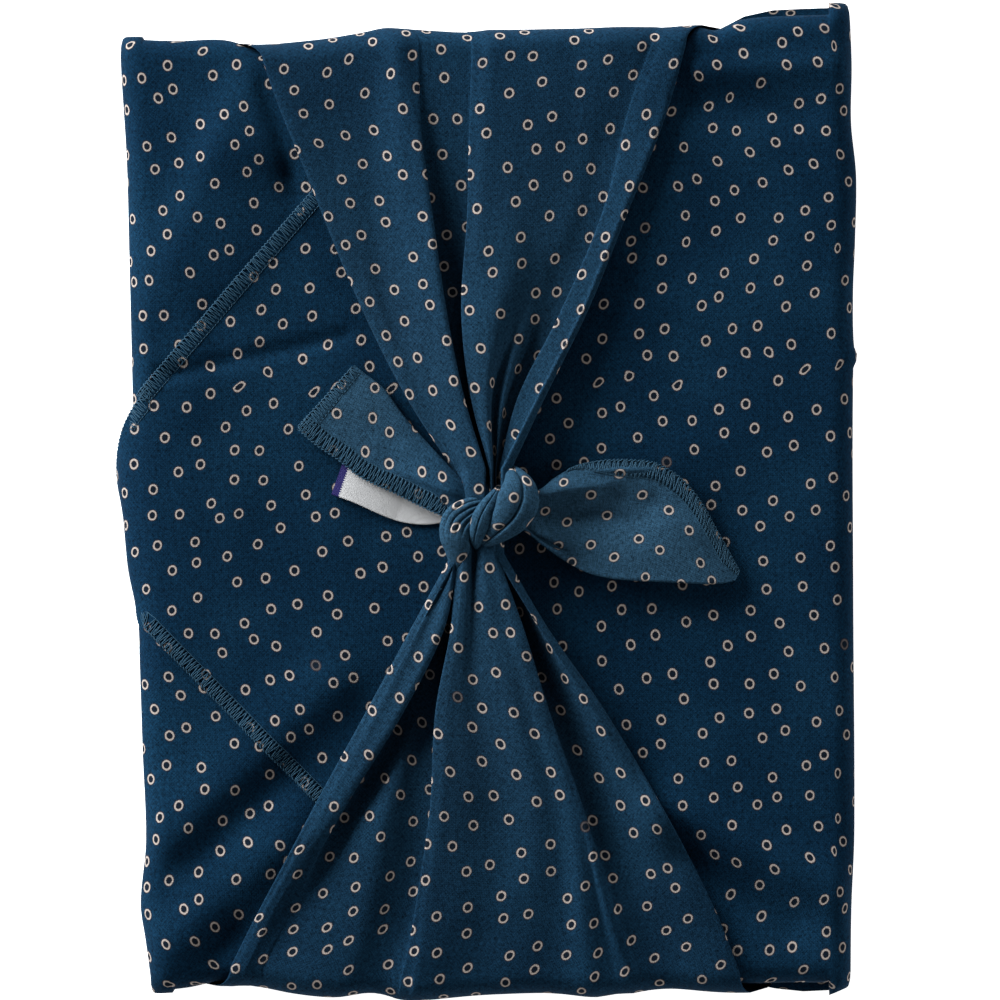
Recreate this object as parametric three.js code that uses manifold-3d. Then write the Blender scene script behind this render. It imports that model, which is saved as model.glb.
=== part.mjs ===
// Furoshiki wrap: one square cotton cloth folded round a flat parcel and knotted on its front.
// Millimetres. +X to the right, +Y towards the top flap, +Z out of the front. The back rests on Z = 0.
//
// The cloth is made as the real one is folded: a sheet that runs from the left flap round the left side,
// under the parcel, round the right side and back over the front as the right flap, then the gathered
// bottom and top flaps, the knot and the two tails. All of them are one cloth, so they are one solid.

import * as THREE from "three";
import Module from "manifold-3d";
import { mergeVertices } from "three/addons/utils/BufferGeometryUtils.js";

// ---------------------------------------------------------------- driving dimensions
const SHEET = 1.6; // one layer of cloth
const LAYER_GAP = 0.6; // air between two layers that lie on each other
const INNER_DEPTH = 17.4; // room between the back and the left flap
const SIDE_TOP_BEND = 8; // radius where a side turns onto the front
const SIDE_FOOT_BEND = 6; // radius where a side turns onto the back
const END_BEND = 8; // radius where the panels turn down at the top and bottom ends
const LIP_HEIGHT = 6; // the turned-down ends of the panels stop this far above the floor
const FLAP_BEND = 9; // radius where the gathered flaps turn over an end
const FLAP_FOOT_BEND = 5; // radius where the gathered flaps leave the back
const ROOT_LENGTH = 14; // how far a gathered flap's root reaches into the back
const ROOT_SHEET = 1.2; // the root is thinner than the back that it lies in
const CORNER_RADIUS = 75; // the square's corners are rounded
const FLAP_STEP = { start: -16, stop: -3 }; // the right flap climbs onto the panels beside its free edge
const OVER_TURN = 1.35; // radians that the right flap's corner turns down over the left side
const SIDE_TUCK = 2; // how far the sides draw in under the turned-down ends
const KNOT_CLIMB = { start: 0.72, rise: 2.4 }; // the gathered flaps climb into the knot from this share on
const END_SWELL = 0.4; // share of a fold's rise that still shows where it stands up the end
const FOLD_FADE = 0.6; // below this share of the height the sides are free of soft folds
const LABEL_THICK = 1;
const LABEL_GAP = 0.45;

const BODY_START_Y = -172; // crossings of the wrap are laid out between these two places
const BODY_STOP_Y = 165;

const HALF = SHEET / 2;
const LAYER_STEP = SHEET + LAYER_GAP;
const LEFT_FLAP_Z = SHEET + INNER_DEPTH + HALF;
const RIGHT_FLAP_Z = LEFT_FLAP_Z + LAYER_STEP;

// ---------------------------------------------------------------- fineness of the folds
// Rows and columns as shares of a panel, closer together at the right flap's corner and near the knot.
const FLAP_COLUMNS = [0, 0.12, 0.24, 0.36, 0.48, 0.59, 0.69, 0.78, 0.85, 0.9, 0.935, 0.965, 1];
const BODY_ROWS = [
  0, 0.08, 0.16, 0.24, 0.3, 0.36, 0.41, 0.45, 0.49, 0.53, 0.57, 0.62, 0.68, 0.76, 0.84, 0.92, 1,
];
const GATHER_ROWS = [0.13, 0.22, 0.32, 0.43, 0.54, 0.65, 0.75, 0.84, 0.92, 1];
const PLAIN_COLUMNS = 6; // across the left flap, across the back and across a tail
const BAND_SIDES = 12; // round a band of the knot
const BAND_STEPS = 3; // between two of a band's stations
const HEART_SIDES = { round: 14, high: 8 };
const LABEL_GRID = { along: 9, across: 4 };

// ---------------------------------------------------------------- outline, as places along each edge
const LEFT_EDGE = [
  { y: -177, x: -118.0 },
  { y: -155, x: -121.3 },
  { y: -142, x: -122.9 },
  { y: -120, x: -121.1 },
  { y: -54, x: -123.2 },
  { y: 36, x: -125.7 },
  { y: 120, x: -127.8 },
  { y: 157, x: -129.9 },
  { y: 175, x: -129.4 },
];
const RIGHT_EDGE = [
  { y: -177, x: 130.3 },
  { y: -147, x: 130.6 },
  { y: -119, x: 131.7 },
  { y: -40, x: 131.6 },
  { y: 64, x: 131.4 },
  { y: 104, x: 132.4 },
  { y: 143, x: 130.6 },
  { y: 175, x: 129.0 },
];
// The panels' top end. It lies one layer inside the top flap where that flap covers it.
const TOP_END = [
  { x: -130, y: 165.3 },
  { x: -93, y: 164.8 },
  { x: -76, y: 160.6 },
  { x: -30, y: 164.4 },
  { x: 40, y: 165.4 },
  { x: 70, y: 166.0 },
  { x: 82, y: 168.4 },
  { x: 100, y: 172.8 },
  { x: 129, y: 173.4 },
];
const BOTTOM_END = [
  { x: -118, y: -176.6 },
  { x: -106, y: -175.2 },
  { x: -94, y: -172.0 },
  { x: -76, y: -171.2 },
  { x: -26, y: -175.4 },
  { x: 20, y: -173.2 },
  { x: 37, y: -174.0 },
  { x: 60, y: -172.0 },
  { x: 90, y: -173.4 },
  { x: 109, y: -176.6 },
  { x: 130, y: -174.6 },
];
const TOP_FLAP_END = [
  { x: -112, y: 162.6 },
  { x: -79, y: 162.0 },
  { x: -52, y: 163.8 },
  { x: -36, y: 166.7 },
  { x: 5, y: 166.3 },
  { x: 73, y: 168.4 },
  { x: 98, y: 170.6 },
];
const BOTTOM_FLAP_END = [
  { x: -110, y: -173.4 },
  { x: -76, y: -173.4 },
  { x: -50, y: -176.6 },
  { x: -26, y: -177.7 },
  { x: 19, y: -175.2 },
  { x: 37, y: -176.3 },
  { x: 60, y: -174.1 },
  { x: 93, y: -175.4 },
];

// The right flap's free edge: two straight edges that would meet at a point, rounded off between them.
const RIGHT_FLAP_CORNER = { x: -161, y: -5.3, upper: 0.868, lower: 0.989 };
const LEFT_FLAP_CORNER = { x: 136, y: 0, upper: 0.95, lower: 0.95 };

// Where the ends stay open: a mouth at each right-hand corner, between the back and the panels.
const MOUTHS = [
  { end: 1, from: 96, to: 106, drop: 4.5 },
  { end: -1, from: 106, to: 114, drop: 5.5 },
];

// Soft ridges (+) and troughs (-) of the cloth over the parcel.
const SOFT_FOLDS = [
  { fromX: -92, fromY: 140, toX: -117, toY: 87, width: 13, rise: 1.3 },
  { fromX: -108, fromY: 47, toX: -48, toY: 60, width: 11, rise: -1.0 },
  { fromX: -90, fromY: -60, toX: -62, toY: -78, width: 18, rise: 0.9 },
  { fromX: -100, fromY: -108, toX: -113, toY: -153, width: 11, rise: 1.2 },
  { fromX: 88, fromY: 90, toX: 104, toY: -10, width: 20, rise: -0.7 },
  { fromX: 70, fromY: -60, toX: 110, toY: -110, width: 16, rise: 0.7 },
];

// ---------------------------------------------------------------- gathered flaps, a row for each fold
// x where the fold crosses the parcel's end, halfway and at the knot, and its rise over the panels there.
const TOP_FLAP_FOLDS = [
  { end: -79.2, middle: -52.2, knot: -12.0, riseEnd: 0.0, riseMiddle: 0.0, riseKnot: 0.0 },
  { end: -76.4, middle: -49.6, knot: -11.0, riseEnd: 1.2, riseMiddle: 1.8, riseKnot: 2.4 },
  { end: -58.0, middle: -40.6, knot: -8.6, riseEnd: 0.7, riseMiddle: 1.4, riseKnot: 3.2 },
  { end: -37.0, middle: -29.4, knot: -5.4, riseEnd: 2.0, riseMiddle: 3.8, riseKnot: 5.4 },
  { end: -27.5, middle: -18.6, knot: -1.4, riseEnd: 1.5, riseMiddle: 5.2, riseKnot: 6.2 },
  { end: -24.5, middle: -16.0, knot: 0.2, riseEnd: 0.6, riseMiddle: 1.2, riseKnot: 3.6 },
  { end: -16.0, middle: -11.4, knot: 1.4, riseEnd: 0.4, riseMiddle: 0.5, riseKnot: 3.0 },
  { end: -7.5, middle: -7.2, knot: 2.6, riseEnd: 0.8, riseMiddle: 2.0, riseKnot: 4.6 },
  { end: 4.0, middle: 0.0, knot: 4.0, riseEnd: 1.6, riseMiddle: 3.4, riseKnot: 5.6 },
  { end: 26.0, middle: 15.0, knot: 5.8, riseEnd: 1.2, riseMiddle: 2.8, riseKnot: 5.2 },
  { end: 50.0, middle: 28.4, knot: 7.2, riseEnd: 0.5, riseMiddle: 1.0, riseKnot: 3.8 },
  { end: 65.0, middle: 36.0, knot: 8.4, riseEnd: 0.8, riseMiddle: 1.4, riseKnot: 4.0 },
  { end: 69.4, middle: 40.4, knot: 9.8, riseEnd: 2.0, riseMiddle: 3.8, riseKnot: 4.4 },
  { end: 73.1, middle: 45.0, knot: 11.2, riseEnd: 0.0, riseMiddle: 0.0, riseKnot: 0.0 },
];
const BOTTOM_FLAP_FOLDS = [
  { end: -93.4, middle: -54.6, knot: -10.4, riseEnd: 0.0, riseMiddle: 0.0, riseKnot: 0.0 },
  { end: -89.2, middle: -50.6, knot: -9.4, riseEnd: 1.8, riseMiddle: 3.6, riseKnot: 4.4 },
  { end: -82.0, middle: -43.4, knot: -8.2, riseEnd: 0.8, riseMiddle: 2.0, riseKnot: 4.0 },
  { end: -62.0, middle: -33.6, knot: -6.8, riseEnd: 0.4, riseMiddle: 0.6, riseKnot: 2.6 },
  { end: -32.0, middle: -21.4, knot: -5.4, riseEnd: 0.5, riseMiddle: 0.8, riseKnot: 2.4 },
  { end: -28.5, middle: -18.6, knot: -4.2, riseEnd: 1.8, riseMiddle: 5.2, riseKnot: 5.6 },
  { end: -16.0, middle: -9.8, knot: -2.8, riseEnd: 1.6, riseMiddle: 4.6, riseKnot: 6.2 },
  { end: 4.0, middle: 3.6, knot: -0.8, riseEnd: 1.0, riseMiddle: 3.6, riseKnot: 5.4 },
  { end: 27.0, middle: 20.0, knot: 1.4, riseEnd: 1.6, riseMiddle: 4.4, riseKnot: 6.2 },
  { end: 41.0, middle: 31.6, knot: 3.0, riseEnd: 1.4, riseMiddle: 5.0, riseKnot: 5.6 },
  { end: 44.4, middle: 34.6, knot: 3.8, riseEnd: 0.6, riseMiddle: 1.0, riseKnot: 3.0 },
  { end: 58.0, middle: 42.0, knot: 4.8, riseEnd: 0.5, riseMiddle: 0.6, riseKnot: 2.6 },
  { end: 78.0, middle: 51.4, knot: 5.8, riseEnd: 1.2, riseMiddle: 2.4, riseKnot: 3.8 },
  { end: 93.4, middle: 58.2, knot: 7.0, riseEnd: 0.0, riseMiddle: 0.0, riseKnot: 0.0 },
];
const GATHERED_FLAPS = [
  { end: 1, folds: TOP_FLAP_FOLDS, outline: TOP_FLAP_END, rootLeft: -110, rootRight: 92, knotY: 0 },
  { end: -1, folds: BOTTOM_FLAP_FOLDS, outline: BOTTOM_FLAP_END, rootLeft: -108, rootRight: 104, knotY: -15 },
];

// ---------------------------------------------------------------- knot and tails
const KNOT = { x: 1.5, y: -6.5, z: 30.2, radiusX: 13, radiusY: 11.5, radiusZ: 6.2 };
const KNOT_CORE_DROP = 6; // the bands turn round a place this far under the knot's middle
const BAND_CREASE = { sides: [1, 4], thickness: 0.78 }; // two creases run along each band
// Bands of the knot, each a run of stations: its middle line, width and thickness.
const KNOT_BANDS = [
  [
    { x: -7, y: -17, z: 28, wide: 8, thick: 5 },
    { x: -3.6, y: -13, z: 33.4, wide: 11, thick: 6.4 },
    { x: 3, y: -7, z: 37.2, wide: 14, thick: 7 },
    { x: 8.8, y: -1.2, z: 37.4, wide: 15, thick: 7 },
    { x: 13.6, y: 2, z: 34.4, wide: 14, thick: 6.6 },
    { x: 15.8, y: -1.6, z: 29.6, wide: 12, thick: 5.6 },
    { x: 12.6, y: -5, z: 26.6, wide: 9, thick: 4.6 },
  ],
  [
    { x: 3.6, y: -3.6, z: 31.6, wide: 8, thick: 5 },
    { x: -2.8, y: -3.2, z: 35, wide: 9.6, thick: 6 },
    { x: -8.6, y: -6, z: 35, wide: 10.6, thick: 6.6 },
    { x: -10.2, y: -12.4, z: 33.4, wide: 9.6, thick: 6.4 },
    { x: -9.6, y: -18.6, z: 30.8, wide: 8, thick: 5.6 },
    { x: -9.2, y: -25.6, z: 27.8, wide: 4.6, thick: 4 },
  ],
];
// Stations from the knot to the free end: the two edges of the tail, its height and its arch between them.
const LEFT_TAIL = [
  { upperX: 1, upperY: -1, lowerX: -6, lowerY: -9, z: 31.2, arch: 1.5 },
  { upperX: -7.8, upperY: 6.2, lowerX: -15.6, lowerY: -6.6, z: 31.6, arch: 1.8 },
  { upperX: -15.6, upperY: 14.4, lowerX: -24.4, lowerY: -0.6, z: 30.4, arch: 2.2 },
  { upperX: -22.4, upperY: 21.8, lowerX: -35, lowerY: 3.6, z: 28.6, arch: 2.2 },
  { upperX: -29.8, upperY: 30.4, lowerX: -45, lowerY: 10, z: 27, arch: 1.8 },
  { upperX: -36.6, upperY: 39.4, lowerX: -54, lowerY: 15.6, z: 26.2, arch: 1.4 },
  { upperX: -43.4, upperY: 44.8, lowerX: -62.6, lowerY: 21.4, z: 26, arch: 1 },
  { upperX: -48.3, upperY: 47.7, lowerX: -66.7, lowerY: 26.6, z: 25.8, arch: 0.6 },
];
const RIGHT_TAIL = [
  { upperX: 12, upperY: 0, lowerX: 8, lowerY: -9, z: 29.6, arch: 1.5 },
  { upperX: 20.6, upperY: 4.6, lowerX: 15.4, lowerY: -12.4, z: 29.2, arch: 2.4 },
  { upperX: 29, upperY: 9.6, lowerX: 21.6, lowerY: -17.8, z: 27.8, arch: 3.4 },
  { upperX: 38, upperY: 13.2, lowerX: 29.6, lowerY: -23.6, z: 26.4, arch: 4.2 },
  { upperX: 51, upperY: 13.8, lowerX: 43, lowerY: -27.6, z: 25.6, arch: 4.2 },
  { upperX: 64, upperY: 11.8, lowerX: 56, lowerY: -28.6, z: 25.4, arch: 3.6 },
  { upperX: 75, upperY: 3, lowerX: 68, lowerY: -29, z: 25.4, arch: 2.6 },
  { upperX: 83.4, upperY: -12, lowerX: 79.4, lowerY: -29.4, z: 25.4, arch: 1.6 },
  { upperX: 90, upperY: -25, lowerX: 88.6, lowerY: -28.8, z: 25.4, arch: 0.4 },
];
const LABEL = { startX: -52.6, startY: 7.4, endX: -20.5, endY: -2.6, wide: 11.4, sag: 0.35 };

// ---------------------------------------------------------------- small helpers
const lerp = (from, to, share) => from + (to - from) * share;
const clamp = (value) => Math.min(1, Math.max(0, value));
const ease = (from, to, at) => {
  const share = clamp((at - from) / (to - from));
  return share * share * (3 - 2 * share);
};
const shares = (count) => Array.from({ length: count }, (_, index) => index / (count - 1));

// Smooth value of a table at a place: a cubic through its rows that keeps their slopes.
function follow(rows, place, value, at) {
  const last = rows.length - 1;
  let row = 0;
  while (row < last - 1 && rows[row + 1][place] < at) row += 1;
  const slope = (index) => {
    const before = rows[Math.max(0, index - 1)];
    const after = rows[Math.min(last, index + 1)];
    return (after[value] - before[value]) / (after[place] - before[place]);
  };
  const span = rows[row + 1][place] - rows[row][place];
  const share = clamp((at - rows[row][place]) / span);
  const square = share * share;
  const cube = square * share;
  return (
    (2 * cube - 3 * square + 1) * rows[row][value] +
    (cube - 2 * square + share) * span * slope(row) +
    (3 * square - 2 * cube) * rows[row + 1][value] +
    (cube - square) * span * slope(row + 1)
  );
}

// A rounded corner of the square, as the x of its free edge at each y. `side` is -1 where it points left.
function freeEdge(corner, y, side) {
  const angle = Math.PI - Math.atan(1 / corner.upper) - Math.atan(1 / corner.lower);
  const halfAngle = (Math.PI - angle) / 2;
  const reach = CORNER_RADIUS / Math.sin(halfAngle);
  const tangent = CORNER_RADIUS / Math.tan(halfAngle);
  const away = y - corner.y;
  const lean = away > 0 ? corner.upper : corner.lower;
  const straight = Math.abs(away) * lean;
  const roundTo = tangent / Math.hypot(1, lean);
  if (Math.abs(away) >= roundTo) return corner.x - side * straight;
  return corner.x - side * (reach - Math.sqrt(CORNER_RADIUS ** 2 - away ** 2));
}
const rightFlapEdge = (y) => freeEdge(RIGHT_FLAP_CORNER, y, -1);
const leftFlapEdge = (y) => freeEdge(LEFT_FLAP_CORNER, y, 1);

function softRise(x, y) {
  let rise = 0;
  for (const fold of SOFT_FOLDS) {
    const alongX = fold.toX - fold.fromX;
    const alongY = fold.toY - fold.fromY;
    const share = clamp(
      ((x - fold.fromX) * alongX + (y - fold.fromY) * alongY) / (alongX ** 2 + alongY ** 2),
    );
    const away = Math.hypot(x - fold.fromX - share * alongX, y - fold.fromY - share * alongY);
    rise += fold.rise * Math.exp(-((away / fold.width) ** 2));
  }
  return rise;
}

// Height of the upper panel's mid-surface where other folds lie on it.
function underFlapZ(x, y) {
  const inside = x - rightFlapEdge(y);
  return lerp(LEFT_FLAP_Z, RIGHT_FLAP_Z, ease(FLAP_STEP.start, FLAP_STEP.stop, inside)) + softRise(x, y);
}

// ---------------------------------------------------------------- solids from grids of points
async function loadManifold() {
  const wasm = await Module();
  wasm.setup();
  return wasm;
}
const wasm = await loadManifold();

function solidOf(positions, faces) {
  const geometry = new THREE.BufferGeometry();
  geometry.setAttribute("position", new THREE.Float32BufferAttribute(positions, 3));
  geometry.setIndex(faces);
  const merged = mergeVertices(geometry, 1e-4);
  const vertProperties = new Float32Array(merged.attributes.position.array);
  const triVerts = new Uint32Array(merged.index.array);
  const solid = new wasm.Manifold(new wasm.Mesh({ numProp: 3, vertProperties, triVerts }));
  if (solid.volume() > 0) return solid;
  // Faces that point inwards are turned by listing each one's corners the other way round.
  triVerts.reverse();
  return new wasm.Manifold(new wasm.Mesh({ numProp: 3, vertProperties, triVerts }));
}

function gridNormal(rows, row, column) {
  const lastRow = rows.length - 1;
  const lastColumn = rows[0].length - 1;
  const along = rows[Math.min(lastRow, row + 1)][column].clone().sub(rows[Math.max(0, row - 1)][column]);
  const across = rows[row][Math.min(lastColumn, column + 1)]
    .clone()
    .sub(rows[row][Math.max(0, column - 1)]);
  return across.cross(along).normalize();
}

// A closed sheet of cloth, half its thickness on each side of a grid of points.
function sheetSolid(rows, thicknessAt) {
  const rowCount = rows.length;
  const columnCount = rows[0].length;
  const positions = [];
  for (const side of [0.5, -0.5]) {
    for (let row = 0; row < rowCount; row += 1) {
      for (let column = 0; column < columnCount; column += 1) {
        const normal = gridNormal(rows, row, column);
        const point = rows[row][column].clone().addScaledVector(normal, side * thicknessAt(row, column));
        positions.push(point.x, point.y, point.z);
      }
    }
  }
  const outer = (row, column) => row * columnCount + column;
  const inner = (row, column) => rowCount * columnCount + outer(row, column);
  const faces = [];
  const quad = (a, b, c, d) => faces.push(a, b, c, a, c, d);
  for (let row = 0; row < rowCount - 1; row += 1) {
    for (let column = 0; column < columnCount - 1; column += 1) {
      quad(outer(row, column), outer(row, column + 1), outer(row + 1, column + 1), outer(row + 1, column));
      quad(inner(row, column), inner(row + 1, column), inner(row + 1, column + 1), inner(row, column + 1));
    }
  }
  const rim = [];
  for (let column = 0; column < columnCount - 1; column += 1) rim.push([0, column]);
  for (let row = 0; row < rowCount - 1; row += 1) rim.push([row, columnCount - 1]);
  for (let column = columnCount - 1; column > 0; column -= 1) rim.push([rowCount - 1, column]);
  for (let row = rowCount - 1; row > 0; row -= 1) rim.push([row, 0]);
  rim.forEach((place, index) => {
    const next = rim[(index + 1) % rim.length];
    quad(outer(...place), inner(...place), inner(...next), outer(...next));
  });
  return solidOf(positions, faces);
}

// ---------------------------------------------------------------- body of the wrap
// One crossing of the wrap at y: places from the left flap's free edge, round the parcel, to the right flap's.
// `lift` is 0 on the back and 1 on the front; `top` is the front's height there; `inset` nests the layers.
function crossing(y) {
  const left = follow(LEFT_EDGE, "y", "x", y) + HALF;
  const right = follow(RIGHT_EDGE, "y", "x", y) - HALF;
  const places = [];
  const front = (x, top, inset) => places.push({ x, z: top, top, inset, panel: true });
  const side = (x, z, top, inset) => places.push({ x, z, top, inset, panel: false });
  const leftStart = left + SIDE_TOP_BEND;
  const rightStart = right - SIDE_TOP_BEND;
  for (const share of shares(PLAIN_COLUMNS)) {
    front(lerp(leftFlapEdge(y), leftStart, share), LEFT_FLAP_Z, LAYER_STEP);
  }
  for (const turn of [30, 60, 90]) {
    const angle = THREE.MathUtils.degToRad(turn);
    const fall = SIDE_TOP_BEND * (1 - Math.cos(angle));
    side(leftStart - SIDE_TOP_BEND * Math.sin(angle), LEFT_FLAP_Z - fall, LEFT_FLAP_Z, LAYER_STEP);
  }
  for (const turn of [0, 45, 90]) {
    const angle = THREE.MathUtils.degToRad(turn);
    const rise = SIDE_FOOT_BEND * (1 - Math.sin(angle));
    side(left + SIDE_FOOT_BEND * (1 - Math.cos(angle)), HALF + rise, LEFT_FLAP_Z, 0);
  }
  const backStart = left + SIDE_FOOT_BEND;
  const backStop = right - SIDE_FOOT_BEND;
  for (const share of shares(PLAIN_COLUMNS).slice(1)) {
    side(lerp(backStart, backStop, share), HALF, RIGHT_FLAP_Z, 0);
  }
  for (const turn of [45, 90]) {
    const angle = THREE.MathUtils.degToRad(turn);
    const rise = SIDE_FOOT_BEND * (1 - Math.cos(angle));
    side(right - SIDE_FOOT_BEND * (1 - Math.sin(angle)), HALF + rise, RIGHT_FLAP_Z, 0);
  }
  for (const turn of [90, 60, 30]) {
    const angle = THREE.MathUtils.degToRad(turn);
    const fall = SIDE_TOP_BEND * (1 - Math.cos(angle));
    side(rightStart + SIDE_TOP_BEND * Math.sin(angle), RIGHT_FLAP_Z - fall, RIGHT_FLAP_Z, 0);
  }
  // The right flap's rounded corner reaches past the left edge and hangs over it.
  const overBend = SIDE_TOP_BEND + LAYER_STEP;
  for (const share of FLAP_COLUMNS) {
    const x = lerp(rightStart, rightFlapEdge(y), share);
    const over = Math.min(OVER_TURN, Math.max(0, (leftStart - x) / overBend));
    const held = over > 0 ? leftStart - overBend * Math.sin(over) : x;
    places.push({
      x: held,
      z: RIGHT_FLAP_Z - overBend * (1 - Math.cos(over)),
      top: RIGHT_FLAP_Z,
      inset: 0,
      panel: true,
    });
  }
  return places;
}

// How far the front has come down at an end, in mm, for a turn of 0 to 90 degrees and then a straight drop.
function frontDrop(turn, hang, x, end, top) {
  const full = END_BEND * (1 - Math.cos(turn)) + hang * (top - END_BEND - LIP_HEIGHT);
  const mouth = MOUTHS.find((candidate) => candidate.end === end);
  const open = ease(mouth.from, mouth.to, x);
  return lerp(full, Math.min(full, mouth.drop * Math.sin(turn)), open);
}

function wrapBody() {
  const lip = [
    { turn: 90, hang: 1 },
    { turn: 90, hang: 0 },
    { turn: 50, hang: 0 },
  ];
  const stations = [
    ...lip.map((row, index) => ({ ...row, end: -1, out: (lip.length - index) / lip.length, share: 0 })),
    ...BODY_ROWS.map((share) => ({ turn: 0, hang: 0, end: share < 0.5 ? -1 : 1, out: 0, share })),
    ...[...lip]
      .reverse()
      .map((row, index) => ({ ...row, end: 1, out: (index + 1) / lip.length, share: 1 })),
  ];
  const rows = stations.map((station) => {
    const turn = THREE.MathUtils.degToRad(station.turn);
    const roughY = lerp(BODY_START_Y, BODY_STOP_Y, station.share);
    return crossing(roughY).map((place) => {
      const bottom = follow(BOTTOM_END, "x", "y", place.x) + HALF + place.inset;
      const top = follow(TOP_END, "x", "y", place.x) - HALF - place.inset;
      const height = (place.z - HALF) / (place.top - HALF);
      const y = lerp(bottom + END_BEND, top - END_BEND, station.share);
      const reach = lerp(station.out * END_BEND, Math.sin(turn) * END_BEND, ease(0, 0.5, height));
      const drop = frontDrop(turn, station.hang, place.x, station.end, place.top);
      const scale = (place.top - drop - HALF) / (place.top - HALF);
      const tuck = place.panel ? 0 : SIDE_TUCK * (1 - Math.cos(turn)) * Math.sign(place.x) * height;
      const soft = softRise(place.x, y) * ease(FOLD_FADE, 1, height);
      return new THREE.Vector3(place.x - tuck, y + station.end * reach, HALF + (place.z - HALF) * scale + soft);
    });
  });
  return sheetSolid(rows, () => SHEET);
}

// ---------------------------------------------------------------- gathered flaps
// The path from the root in the back, up the end and over onto the front: how far inside the flap's
// outermost line it is, its height, and the tilt of its face from straight up.
function flapPath(topZ) {
  const path = [
    { inside: ROOT_LENGTH, z: HALF, tilt: 180 },
    { inside: FLAP_FOOT_BEND + 1, z: HALF, tilt: 180 },
  ];
  for (const turn of [45, 90]) {
    const angle = THREE.MathUtils.degToRad(turn);
    path.push({
      inside: FLAP_FOOT_BEND * (1 - Math.sin(angle)),
      z: HALF + FLAP_FOOT_BEND * (1 - Math.cos(angle)),
      tilt: 180 - turn,
    });
  }
  for (const turn of [0, 30, 60, 90]) {
    const angle = THREE.MathUtils.degToRad(turn);
    path.push({
      inside: FLAP_BEND * (1 - Math.cos(angle)),
      z: topZ - FLAP_BEND * (1 - Math.sin(angle)),
      tilt: 90 - turn,
    });
  }
  return path;
}

const throughThree = (start, middle, stop, share) =>
  start * (1 - share) * (1 - 2 * share) + middle * 4 * share * (1 - share) + stop * share * (2 * share - 1);

function gatheredFlap(flap) {
  const first = flap.folds[0].end;
  const width = flap.folds[flap.folds.length - 1].end - first;
  const pointAt = (fold, along) => {
    const x = throughThree(fold.end, fold.middle, fold.knot, along);
    const rise = throughThree(fold.riseEnd, fold.riseMiddle, fold.riseKnot, along);
    return { x, rise: Math.max(0, rise) };
  };
  const rows = [];
  const path = flapPath(RIGHT_FLAP_Z + LAYER_STEP);
  const standing = path.findIndex((step) => step.tilt === 90);
  path.forEach((step, index) => {
    rows.push(
      flap.folds.map((fold) => {
        const outermost = follow(flap.outline, "x", "y", fold.end) - flap.end * HALF;
        const length = Math.abs(outermost - flap.knotY);
        const { x, rise } = pointAt(fold, index <= standing ? 0 : step.inside / length);
        const rootX = lerp(flap.rootLeft, flap.rootRight, (fold.end - first) / width);
        const onFront = ease(HALF, RIGHT_FLAP_Z, step.z);
        const tilt = THREE.MathUtils.degToRad(step.tilt);
        const swell = rise * ease(0, 1, onFront);
        return new THREE.Vector3(
          lerp(rootX, x, onFront),
          outermost - flap.end * (step.inside - swell * Math.sin(tilt) * END_SWELL),
          step.z + swell * Math.max(0, Math.cos(tilt)),
        );
      }),
    );
  });
  for (const along of GATHER_ROWS) {
    rows.push(
      flap.folds.map((fold) => {
        const outermost = follow(flap.outline, "x", "y", fold.end) - flap.end * HALF;
        const { x, rise } = pointAt(fold, along);
        const y = lerp(outermost, flap.knotY, along);
        const climb = KNOT_CLIMB.rise * ease(KNOT_CLIMB.start, 1, along);
        return new THREE.Vector3(x, y, underFlapZ(x, y) + LAYER_STEP + rise + climb);
      }),
    );
  }
  return sheetSolid(rows, (row) => lerp(ROOT_SHEET, SHEET, ease(1, standing + 1, row)));
}

// ---------------------------------------------------------------- knot and tails
// A band of gathered cloth: an oval section with two creases, swept along smooth stations.
function bandSolid(stations) {
  const sides = BAND_SIDES;
  const steps = BAND_STEPS * (stations.length - 1);
  const line = new THREE.CatmullRomCurve3(stations.map(({ x, y, z }) => new THREE.Vector3(x, y, z)));
  const heart = new THREE.Vector3(KNOT.x, KNOT.y, KNOT.z - KNOT_CORE_DROP);
  const positions = [];
  const faces = [];
  const rings = steps + 1;
  for (let step = 0; step < rings; step += 1) {
    const share = step / steps;
    const centre = line.getPoint(share);
    const ahead = line.getTangent(share);
    const out = centre.clone().sub(heart).normalize();
    const across = ahead.clone().cross(out).normalize();
    const up = across.clone().cross(ahead).normalize();
    const place = share * (stations.length - 1);
    const before = Math.min(stations.length - 2, Math.floor(place));
    const wide = lerp(stations[before].wide, stations[before + 1].wide, place - before);
    const thick = lerp(stations[before].thick, stations[before + 1].thick, place - before);
    for (let side = 0; side < sides; side += 1) {
      const angle = (2 * Math.PI * (side + 0.5)) / sides;
      const crease = BAND_CREASE.sides.includes(side) ? BAND_CREASE.thickness : 1;
      const point = centre
        .clone()
        .addScaledVector(across, (wide / 2) * Math.cos(angle))
        .addScaledVector(up, (thick / 2) * Math.sin(angle) * crease);
      positions.push(point.x, point.y, point.z);
    }
  }
  for (let step = 0; step < steps; step += 1) {
    for (let side = 0; side < sides; side += 1) {
      const next = (side + 1) % sides;
      const a = step * sides + side;
      const b = step * sides + next;
      faces.push(a, b, b + sides, a, b + sides, a + sides);
    }
  }
  for (let side = 1; side < sides - 1; side += 1) {
    const end = steps * sides;
    faces.push(0, side + 1, side, end, end + side, end + side + 1);
  }
  return solidOf(positions, faces);
}

function knotHeart() {
  const ball = new THREE.SphereGeometry(1, HEART_SIDES.round, HEART_SIDES.high);
  ball.scale(KNOT.radiusX, KNOT.radiusY, KNOT.radiusZ);
  ball.translate(KNOT.x, KNOT.y, KNOT.z);
  ball.deleteAttribute("normal");
  ball.deleteAttribute("uv");
  return solidOf([...ball.attributes.position.array], [...ball.index.array]);
}

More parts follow.
